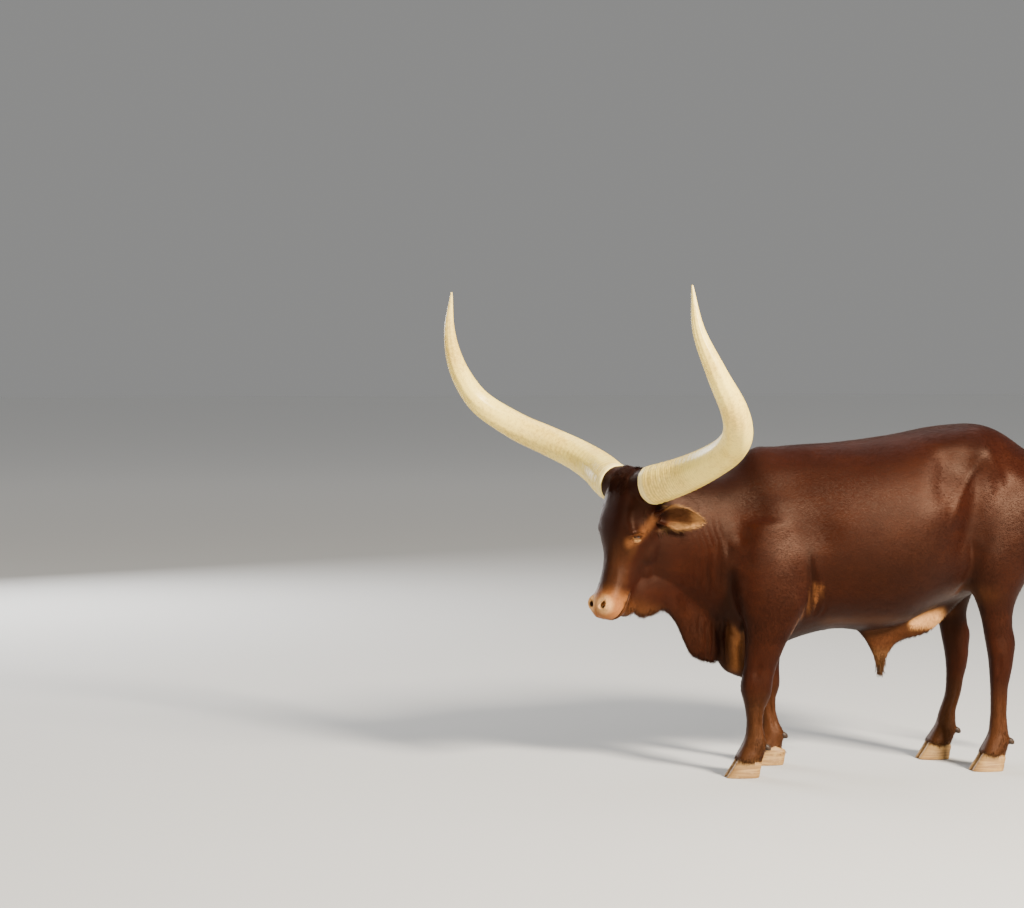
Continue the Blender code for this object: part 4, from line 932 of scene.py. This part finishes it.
def atlas_place(points):
    """Where points are on the unwrapped hide: each part cut open round its own axis, in its own rectangle."""
    x, y, z = points.T
    along, out, raised = in_head(points)
    place = np.column_stack([0.01 + 0.6 * turn_share(y, z - 1.0),
                             0.01 + 0.98 * np.clip((x + 0.75) / 2.1, 0, 1)])
    for number, (sideways, toe, heel, about) in enumerate(legs(points, 0.1)):
        leg = about & (z < 0.6)
        turned = turn_share(y - sideways, x - (toe + heel) / 2 - 0.1)
        place[leg] = np.column_stack([0.63 + 0.09 * number + 0.085 * turned, 0.01 + 0.6 * z])[leg]
    head = x < -0.47
    place[head] = np.column_stack([0.63 + 0.36 * turn_share(out, raised + 0.06),
                                   0.66 + 0.3 * np.clip((along + 0.1) / 0.7, 0, 1)])[head]
    tail = (x > 1.225) & (z < 1.3)
    place[tail] = np.column_stack([0.63 + 0.1 * turn_share(y, x - 1.275), 0.4 + 0.2 * z / 1.3])[tail]
    for number, line in enumerate(ear_lines):
        near = distance_to(points, line) < 0.062
        run = away_from(points, line[0])
        place[near] = np.column_stack([0.76 + 0.11 * number + 0.3 * (z - 1.0), 0.4 + 0.9 * run])[near]
    return np.clip(place, 0.004, 0.996)


def tufts(name, roots, out, lie, length, wide, thick, lift, random, rings, curl, own, taper=0.75, belly=0.0,
          finish=COAT_FINISH, slot="coat"):
    """Joined tufts: each a flat three-sided blade of some rings and a tip, its middle line
    root + lie * length * t + out * (lift * t^1.6 + belly * sin(pi t)), bent sideways by curl * t^2.

    Its normals are the blade's own by a share and those of the hide under it, and its OFBake map is a small
    patch round the place of its root on the unwrapped hide.
    """
    count, each = len(roots), rings * 3 + 1
    t = np.linspace(0, 1, rings + 1)[None, :, None]
    length, wide, lift, belly = (np.broadcast_to(v, (count,))[:, None, None]
                                 for v in (length, wide, lift, belly))
    root, up, way, side = (v[:, None] for v in (roots, out, lie, np.cross(out, lie)))
    bend = length * curl * random.uniform(-1, 1, (count, 1, 1))
    middle = (root - up * ROOT_SINK * (1 - t) + way * length * t
              + up * (lift * t**1.6 + belly * np.sin(math.pi * t)) + side * bend * t**2)
    narrow = 1 - taper * t[:, :-1] ** 1.4
    corners = [middle[:, :-1] + side * wide / 2 * narrow, middle[:, :-1] - side * wide / 2 * narrow,
               middle[:, :-1] + up * thick * narrow]
    body = np.stack(corners, axis=2).reshape(count, rings * 3, 3)
    points = np.concatenate([body, middle[:, -1:]], axis=1)
    quads = [(3 * r + (i + 1) % 3, 3 * r + i, 3 * r + 3 + i, 3 * r + 3 + (i + 1) % 3)
             for r in range(rings - 1) for i in range(3)]
    ends = [(3 * rings - 3 + (i + 1) % 3, 3 * rings - 3 + i, each - 1) for i in range(3)] + [(0, 1, 2)]
    first = each * np.arange(count)[:, None, None]
    piece = mesh_of(name, points.reshape(-1, 3) + WITHERS,
                    (first + np.array(quads, int).reshape(1, -1, 4)).reshape(-1, 4),
                    (first + np.array(ends)[None]).reshape(-1, 3))
    across = np.tile([[-0.5], [0.5], [0.0]], (rings, 1))
    patch = np.concatenate([np.column_stack([across, np.repeat(t[0, :-1] - 0.5, 3, axis=0)]), [[0.0, 0.5]]])
    places = (atlas_place(roots)[:, None] + TUFT_PATCH * patch[None]).reshape(-1, 2).astype(np.float32)
    corner_of = read(piece.data.loops, "vertex_index")
    piece.data.uv_layers.new(name="OFBake").data.foreach_set("uv", places[corner_of].ravel())
    mark(piece, roots, each)
    normals = read(piece.data.vertex_normals, "vector", 3, np.float32)
    piece.data.normals_split_custom_set_from_vertices(unit(own * normals + np.repeat(out, each, axis=0)))
    piece.data.materials.append(finish)
    return fitted(piece, slot)


hide.data.calc_loop_triangles()
triangles = read(hide.data.loop_triangles, "vertices", 3)
corner_points = hide_points[triangles]
triangle_middles = corner_points.mean(axis=1)
triangle_areas = np.linalg.norm(np.cross(corner_points[:, 1] - corner_points[:, 0],
                                         corner_points[:, 2] - corner_points[:, 0]), axis=1) / 2


def sown(density, count, random):
    """Points drawn on the hide by its triangles' areas times density, with their normals and lie."""
    chance = triangle_areas * density
    chosen = random.choice(len(triangles), count, p=chance / chance.sum())
    first, second = random.random((2, count))
    share = np.column_stack([1 - np.sqrt(first), np.sqrt(first) * (1 - second), np.sqrt(first) * second])
    roots = (corner_points[chosen] * share[..., None]).sum(axis=1)
    out = unit((hide_normals[triangles[chosen]] * share[..., None]).sum(axis=1))
    return roots, out, lie_of(roots, out)


def bare(points):
    """Where no hair grows: the wet nose, inside the nostrils and mouth, and on the eyes."""
    along, _, raised = in_head(points)
    face = points[:, 0] < -0.5
    nose = soft(along, 0.5, 0.53) * face * soft(raised, -0.045, -0.02)
    lip = (along > 0.45) & (np.abs(mouth_line(points)) < 0.006) & face
    return np.clip(nose + (features(points, 0.0215, 0.017, 0.0) | lip), 0, 1)


def off_dewclaws(points):
    """Everywhere but on the bare dewclaws."""
    free = np.ones(len(points), bool)
    for foot in FEET:
        for which in CLAWS.values():
            solid, _ = points_of(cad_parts[f"dewclaw_{foot}_{which}"])
            low, high = solid.min(axis=0) + (0.004, -0.001, -0.001), solid.max(axis=0) + 0.001
            free &= ~((points > low) & (points < high)).all(axis=1)
    return free


def coat_places(points):
    """Where each piece of the coat grows: on the head, the neck with the dewlap, each side of the fore and
    rear trunk, the legs down to the hooves, and the sheath, brisket and belly edges."""
    x, y, z = points.T
    fore, rear = (x >= -0.2) & (x < 0.5) & (z > 0.58), (x >= 0.5) & (x < 1.4) & (z > 0.58)
    leg = (z <= 0.58) & (z > 0.06) & (x > -0.3) & ((x > -0.2) | (z < 0.4)) & (np.abs(y) > 0.09)
    return {"coat_head": (x < -0.46) * (1 - bare(points)), "coat_neck": (x >= -0.46) & (x < -0.2) & (z > 0.4),
            "coat_fore_left": fore & (y <= 0), "coat_fore_right": fore & (y >= 0),
            "coat_rear_left": rear & (y <= 0), "coat_rear_right": rear & (y >= 0),
            "coat_legs": off_dewclaws(points) & leg,
            "coat_folds": (z <= 0.62) & (x > -0.25) & (np.abs(y) <= 0.09)}


places = coat_places(triangle_middles)
for number, (name, (count, long, wide, lift)) in enumerate(COATS.items()):
    random = np.random.default_rng(100 + number)
    roots, out, lie = sown(places[name], count, random)
    vary = random.uniform(0.7, 1.3, count)
    lifts = lift * random.uniform(0.4, 1.5, count)
    tufts(name, roots, out, lie, long * vary, wide * vary, COAT_THICK, lifts, random, 1, COAT_CURL,
          COAT_OWN_NORMALS)

# Longer hair
# Fringes that stand off the short coat: inside and along the rims of the ears, on the poll, along the
# throat, at the end of the sheath, behind the fetlocks and round the tops of the hooves, and the lashes.

OWN_NORMALS = 4.0
# Each fringe: how many tufts, length, width, lift at the tip, rings, curl, and a pull on its lie
FRINGES = {"fringe_ears": (2600, 0.03, 0.0016, 0.009, 3, 0.3, (0.0, 0.0, -0.25)),
           "fringe_poll": (1500, 0.034, 0.0024, 0.008, 3, 0.3, (-0.3, -0.1, -0.5)),
           "fringe_throat": (1500, 0.024, 0.0016, 0.004, 3, 0.3, (0.2, 0.0, -1.0)),
           "fringe_sheath": (420, 0.062, 0.003, 0.01, 5, 0.22, (0.1, 0.0, -2.5)),
           "fringe_heels": (3600, 0.024, 0.0018, 0.004, 3, 0.2, (0.0, 0.0, -0.6)),
           "fringe_eyes": (150, 0.013, 0.0007, 0.01, 3, 0.15, (0.0, 0.0, -0.2))}
SHEATH_TIP = np.array([0.47, 0.0, 0.448])
# The lower edge of the jaw and dewlap, from the muzzle back
THROAT_X, THROAT_Z = [-0.7, -0.62, -0.5, -0.44, -0.38, -0.26], [0.76, 0.69, 0.705, 0.63, 0.51, 0.47]


def fringe_places(points):
    """Where each fringe grows: the rims and insides of the ears, the top of the head between the horns, the
    lower edge of the jaw and dewlap, the sheath's lowest point, behind the fetlocks with the tops of the
    hooves, and the upper rim of each eye."""
    x, _, z = points.T
    along, out, raised = in_head(points)
    ears, ear_roots = from_ears(points)
    behind = np.max([about * soft(x - (toe + heel) / 2, 0.035, 0.075)
                     for _, toe, heel, about in legs(points)], axis=0)
    heels = (behind * bell(z - 0.135, 0.045) + 1.6 * bell(z - 0.076, 0.016)) * (z > 0.056) * (z < 0.25)
    lashes = np.zeros(len(points))
    for side in SIDES:
        a, b, c = in_eye(points, side)
        lashes += bell(b - 0.0055, 0.0022) * (np.abs(a) < 0.019) * (c > 0.012)
    rims = 0.25 + 3.0 * soft(ears, 0.03, 0.05)
    return {"fringe_ears": (ears < 0.064) * soft(ear_roots, 0.055, 0.075) * rims,
            "fringe_poll": (np.abs(out) < 0.052) & (along < 0.045) & (x < -0.5) & (raised > -0.05),
            "fringe_throat": (x < -0.25) * (x > -0.71) * bell(z - np.interp(x, THROAT_X, THROAT_Z), 0.02),
            "fringe_sheath": bell(away_from(points, SHEATH_TIP), 0.026),
            "fringe_heels": heels * off_dewclaws(points), "fringe_eyes": lashes}


places = fringe_places(triangle_middles)
for number, (name, (count, long, wide, lift, rings, curl, pull)) in enumerate(FRINGES.items()):
    random = np.random.default_rng(200 + number)
    roots, out, lie = sown(places[name], count, random)
    way = lie + np.array(pull)
    lie = unit(way - 0.85 * out * np.sum(way * out, axis=1, keepdims=True))
    vary = random.uniform(0.6, 1.25, count)
    lifts = lift * random.uniform(0.3, 1.2, count)
    tufts(name, roots, out, lie, long * vary, wide * vary, wide * 0.4, lifts, random, rings, curl,
          OWN_NORMALS)

# Eyes
# Two dark brown balls behind nearly closed lids, each with a clear bulge over a level, oval pupil.

EYE_RINGS, EYE_SIDES, EYE_BULGE, PUPIL_OVAL = 40, 48, 0.06, 1.35
PUPIL, IRIS_DARK, IRIS_PALE = (0.002, 0.002, 0.003), (0.03, 0.01, 0.004), (0.085, 0.032, 0.012)
IRIS_EDGE, EYE_WHITE = (0.01, 0.005, 0.004), (0.06, 0.03, 0.02)


def eyeball(side):
    """Rings about the way the eye looks: radius R * (1 + bulge), the bulge a bell over the front."""
    centre, outward_way, front, upward = eye_frame(side)
    share = np.linspace(-0.995, 0.995, EYE_RINGS) * math.pi / 2
    grow = (EYE_RADIUS - 0.0002) * (1 + EYE_BULGE * bell(math.pi / 2 - share, 0.5))
    centres = centre + np.outer(grow * np.sin(share), outward_way)
    turn = around(EYE_SIDES)[:, None]
    made = ringed(f"eyeball_{SIDES[side]}", centres[:, None] + (grow * np.cos(share))[:, None, None]
                  * (np.cos(turn) * front - np.sin(turn) * upward))
    a, b, c = in_eye(points_of(made)[0], side)
    store(made, "iris", np.clip(np.hypot(a / PUPIL_OVAL, b) / EYE_RADIUS + (c < 0), 0, 1))
    return made


eye_finish = Finish("eye", Roughness=0.12, Specular_IOR_Level=0.4, Coat_Weight=0.25, Coat_Roughness=0.05)
oval = eye_finish.held("iris")
iris = eye_finish.blend(eye_finish.noise(700.0, 2.0), IRIS_DARK, IRIS_PALE)
iris = eye_finish.blend(eye_finish.between(oval, 0.2, 0.24), PUPIL, iris)
iris = eye_finish.blend(eye_finish.between(oval, 0.48, 0.56), iris, IRIS_EDGE)
iris = eye_finish.blend(eye_finish.between(oval, 0.6, 0.74), iris, EYE_WHITE)
eye_finish.done(*[fitted(eyeball(side), "eye", "eye_" + word) for side, word in SIDES.items()],
                Base_Color=iris)

# Horns
# Two long, thick horns, ivory with an oiled look, finely ringed from the foot outwards and smooth
# towards the tips. Each sits in the head with a pale, slightly flared rim.

HORN_ROWS, HORN_SIDES, HORN_SUNK = 320, 72, 0.0001
HORN_CREAM, HORN_IVORY, HORN_OLIVE = (0.98, 0.74, 0.16), (0.9, 0.62, 0.11), (0.33, 0.2, 0.05)
HORN_TIP, HORN_RIM = (0.52, 0.4, 0.24), (0.95, 0.78, 0.34)


def horn(side):
    """Rings of radius r + rings + worn ripples + flare: the rings die out along the horn, and the flare is
    a swollen rim over a foot that narrows into the head. All three shrink where the horn is thin."""
    line = [HEAD_AT + from_head(place, side) - HORN_SUNK * UP for place in HORN_LINE]
    centres, along, radii, run = line_rows(line, np.array(HORN_RADII) * 0.992, HORN_ROWS)
    turn, s = around(HORN_SIDES)[None], run[:, None]
    rings = (0.0011 * np.sin(2 * math.pi * (s + 0.002 * np.sin(3 * turn)) / 0.0105)
             + 0.0009 * np.sin(2 * math.pi * s / 0.0273 + 1.0)) * np.exp(-s / 0.34)
    worn = 0.0006 * np.sin(5 * turn + 9 * s) + 0.0005 * np.sin(11 * turn - 4 * s)
    flare = 0.0022 * bell(s - 0.07, 0.016) - 0.008 * soft(s, 0.058, 0.044)
    share = np.clip(radii[:, None] / 0.03, 0, 1)
    radii = radii[:, None] - 0.0022 * share + (rings + worn + flare) * share
    made = ringed(f"horn_{SIDES[side]}_ringed", ring_grid(centres, along, radii, HORN_SIDES))
    store(made, "run", np.r_[np.repeat(run, HORN_SIDES), run[0], run[-1]])
    return made


horn_finish = Finish("horn", Specular_IOR_Level=0.5)
run = horn_finish.held("run")
cloud = horn_finish.noise(5.0, 5.0, 0.6)
grain = horn_finish.noise(90.0, 4.0, 0.6)
rings = horn_finish.node("TexWave", {"wave_type": "BANDS", "bands_direction": "X", "wave_profile": "SIN"},
                         {"Vector": horn_finish.node("CombineXYZ", {}, {0: run + cloud * 0.012}),
                          "Scale": 28.0, "Distortion": 1.5, "Detail": 2.0, "Detail Scale": 2.0})
rings = rings * horn_finish.between(run, 0.55, 0.1)
colour = horn_finish.blend(horn_finish.between(cloud, 0.35, 0.72), HORN_CREAM, HORN_IVORY)
colour = horn_finish.blend(horn_finish.between(grain + cloud * 0.6, 0.72, 1.05) * 0.45, colour, HORN_OLIVE)
colour = horn_finish.blend(rings * 0.42, colour, HORN_OLIVE)
colour = horn_finish.blend(horn_finish.between(run, 1.2, 1.62) * 0.35, colour, HORN_TIP)
colour = horn_finish.blend((1 - horn_finish.between(run, 0.072, 0.082)) * 0.5, colour, HORN_RIM)
horn_finish.done(*[fitted(horn(side), "horn", "horn_" + word) for side, word in SIDES.items()],
                 Base_Color=colour, Roughness=0.34 + grain * 0.16,
                 Normal=horn_finish.bump(rings + grain * 0.4, 0.0008, 0.5))

# Hooves
# Two claws and two small dewclaws on each foot, of grey-brown horn that grows down in rings from the
# coronet and is worn at the sole, which is flat on the floor.

CLAW_HIGH_TOE, CLAW_HIGH_HEEL, CLAW_SLOPE = 0.086, 0.058, math.radians(58)
CLAW_OUTER, CLAW_INNER, CLAW_GAP = 0.04, 0.017, 0.006
# Levels of a claw from the sole up, and how wide it is at each
CLAW_LEVELS = ((0.0, 0.965), (0.02, 0.985), (0.08, 1.0), (0.55, 0.93), (1.0, 0.84), (1.12, 0.7))
DEWCLAW_RADII, DEWCLAW_END = [0.0118, 0.0128, 0.0062], [0.96, 0.86, 0.66, 0.3]
HOOF_BROWN, HOOF_PALE, HOOF_WORN = (0.2, 0.1, 0.028), (0.33, 0.185, 0.058), (0.4, 0.25, 0.085)
DEWCLAW_DARK, DEWCLAW_WORN = (0.01, 0.006, 0.004), (0.05, 0.028, 0.016)


def claw(foot, which):
    """A rounded wedge: rings of a squared oval that lean back up the toe wall, with fine growth ridges."""
    sideways, toe, heel = FEET[foot]
    length, turn = heel - toe, around(56)[None]
    level, shrink = rows_between(CLAW_LEVELS, 30).T[..., None]
    along = 0.5 + 0.5 * np.sign(np.cos(turn)) * np.abs(np.cos(turn)) ** 0.85
    wide = (np.where(np.sin(turn) > 0, CLAW_OUTER, CLAW_INNER) * np.sign(np.sin(turn))
            * np.abs(np.sin(turn)) ** 0.8)
    wide = np.where(np.sin(turn) > 0, wide * (1 - 0.3 * (1 - along)), wide)
    ridge = np.sin(2 * math.pi * level * 7.0 + along) + np.sin(level * 19.0 + 1.0)
    ridge = 1 + 0.003 * ridge * (level > 0.06)
    high = level * (CLAW_HIGH_HEEL + (CLAW_HIGH_TOE - CLAW_HIGH_HEEL) * (1 - along))
    lean = (1 - along) * high / math.tan(CLAW_SLOPE) + along * high * 0.25
    x = toe + length / 2 + (along - 0.5) * length * (0.6 + 0.4 * shrink) * 0.995 * ridge + lean
    y = sideways + which * math.copysign(1, sideways) * (CLAW_GAP / 2 + CLAW_INNER + wide * shrink * ridge)
    return ringed(f"hoof_{foot}_{CLAWS[which]}", np.stack([x, y, high + 0 * x], axis=-1))


def dewclaw(foot, which):
    """A short blunt cone behind the fetlock, in the place and length of its solid."""
    points, _ = points_of(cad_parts[f"dewclaw_{foot}_{CLAWS[which]}"])
    low, high = points.min(axis=0), points.max(axis=0)
    middle = (low + high) / 2
    root = np.array([low[0] + 0.01, middle[1], high[2] - 0.012])
    tip = np.array([high[0] - 0.004, middle[1], low[2] + 0.007])
    centres, along, radii, _ = line_rows([root, (root + tip) / 2, tip], DEWCLAW_RADII, 16)
    radii = radii * np.r_[np.ones(12), DEWCLAW_END] * (1 + 0.006 * np.sin(np.arange(16) * 1.9))
    return ringed(f"dewhoof_{foot}_{CLAWS[which]}", ring_grid(centres, along, radii, 24))


hoof_finish = Finish("hoof", Specular_IOR_Level=0.4)
band = hoof_finish.noise(26.0, 2.0, stretch=(0.35, 0.35, 5))
wear = hoof_finish.noise(38.0, 5.0, 0.65)
fibre = hoof_finish.noise(320.0, 2.0, stretch=(1, 1, 0.12))
colour = hoof_finish.blend(hoof_finish.between(band, 0.35, 0.68), HOOF_BROWN, HOOF_PALE)
colour = hoof_finish.blend(hoof_finish.between(wear, 0.5, 0.75) * 0.6, colour, HOOF_WORN)
bump = hoof_finish.bump(band + fibre * 0.3 + wear * 0.4, 0.0012, 0.45)
dewclaw_finish = Finish("dewclaw", Specular_IOR_Level=0.2, Roughness=0.5)
dark = dewclaw_finish.blend(dewclaw_finish.noise(60.0, 4.0, 0.6), DEWCLAW_DARK, DEWCLAW_WORN)
for foot in FEET:
    for which, word in CLAWS.items():
        hoof = fitted(claw(foot, which), "hoof", f"claw_{foot}_{word}")
        hoof_finish.done(hoof, Base_Color=colour, Roughness=0.48 + wear * 0.25, Normal=bump)
        dewclaw_finish.done(fitted(dewclaw(foot, which), "hoof", f"dewclaw_{foot}_{word}"), Base_Color=dark)

# Tail switch
# The tuft of long, coarse, nearly black hair at the end of the tail, in locks that part and bend over
# one another, rooted up the last hand's breadth of the tail.

SWITCH_TOP, SWITCH_TIP, SWITCH_ROOTED = 0.655, 0.296, 0.11
SWITCH_LOCKS, SWITCH_AXIS, SWITCH_RADIUS = 1300, np.array([1.268, 0.006, 0.0]), 0.01
SWITCH_BLACK, SWITCH_BROWN = (0.01, 0.0045, 0.0035), (0.075, 0.026, 0.014)

switch_finish = Finish("switch", Specular_IOR_Level=0.28, Sheen_Weight=0.03, Sheen_Roughness=0.5)
cloud = switch_finish.noise(60.0, 3.0, stretch=(1, 1, 0.15))
strand = switch_finish.noise(420.0, 2.0, stretch=(1, 1, 0.05))
colour = switch_finish.blend(switch_finish.between(cloud, 0.4, 0.72), SWITCH_BLACK, SWITCH_BROWN)
switch_finish.done(Base_Color=switch_finish.shade(colour, strand * 0.9 + 0.55), Roughness=0.38 + strand * 0.2)
random = np.random.default_rng(41)
share = random.random(SWITCH_LOCKS) ** 0.8
turn = random.uniform(0, 2 * math.pi, SWITCH_LOCKS)
out = np.column_stack([np.cos(turn), np.sin(turn), 0 * turn])
roots = SWITCH_AXIS + np.outer(SWITCH_TOP - SWITCH_ROOTED * share, UP) + out * SWITCH_RADIUS
length = (roots[:, 2] - SWITCH_TIP) * random.uniform(0.62, 0.99, SWITCH_LOCKS)
wide = random.uniform(0.0025, 0.005, SWITCH_LOCKS)
lift = -0.006 * random.random(SWITCH_LOCKS)
belly = 0.0235 * random.random(SWITCH_LOCKS) ** 0.6
switch = tufts("switch", roots, out, unit(0.03 * out - UP), length, wide, 0.0011, lift, random, 8, 0.045,
               OWN_NORMALS, 0.85, belly, switch_finish.material, "switch_hair")
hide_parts("tail_switch")
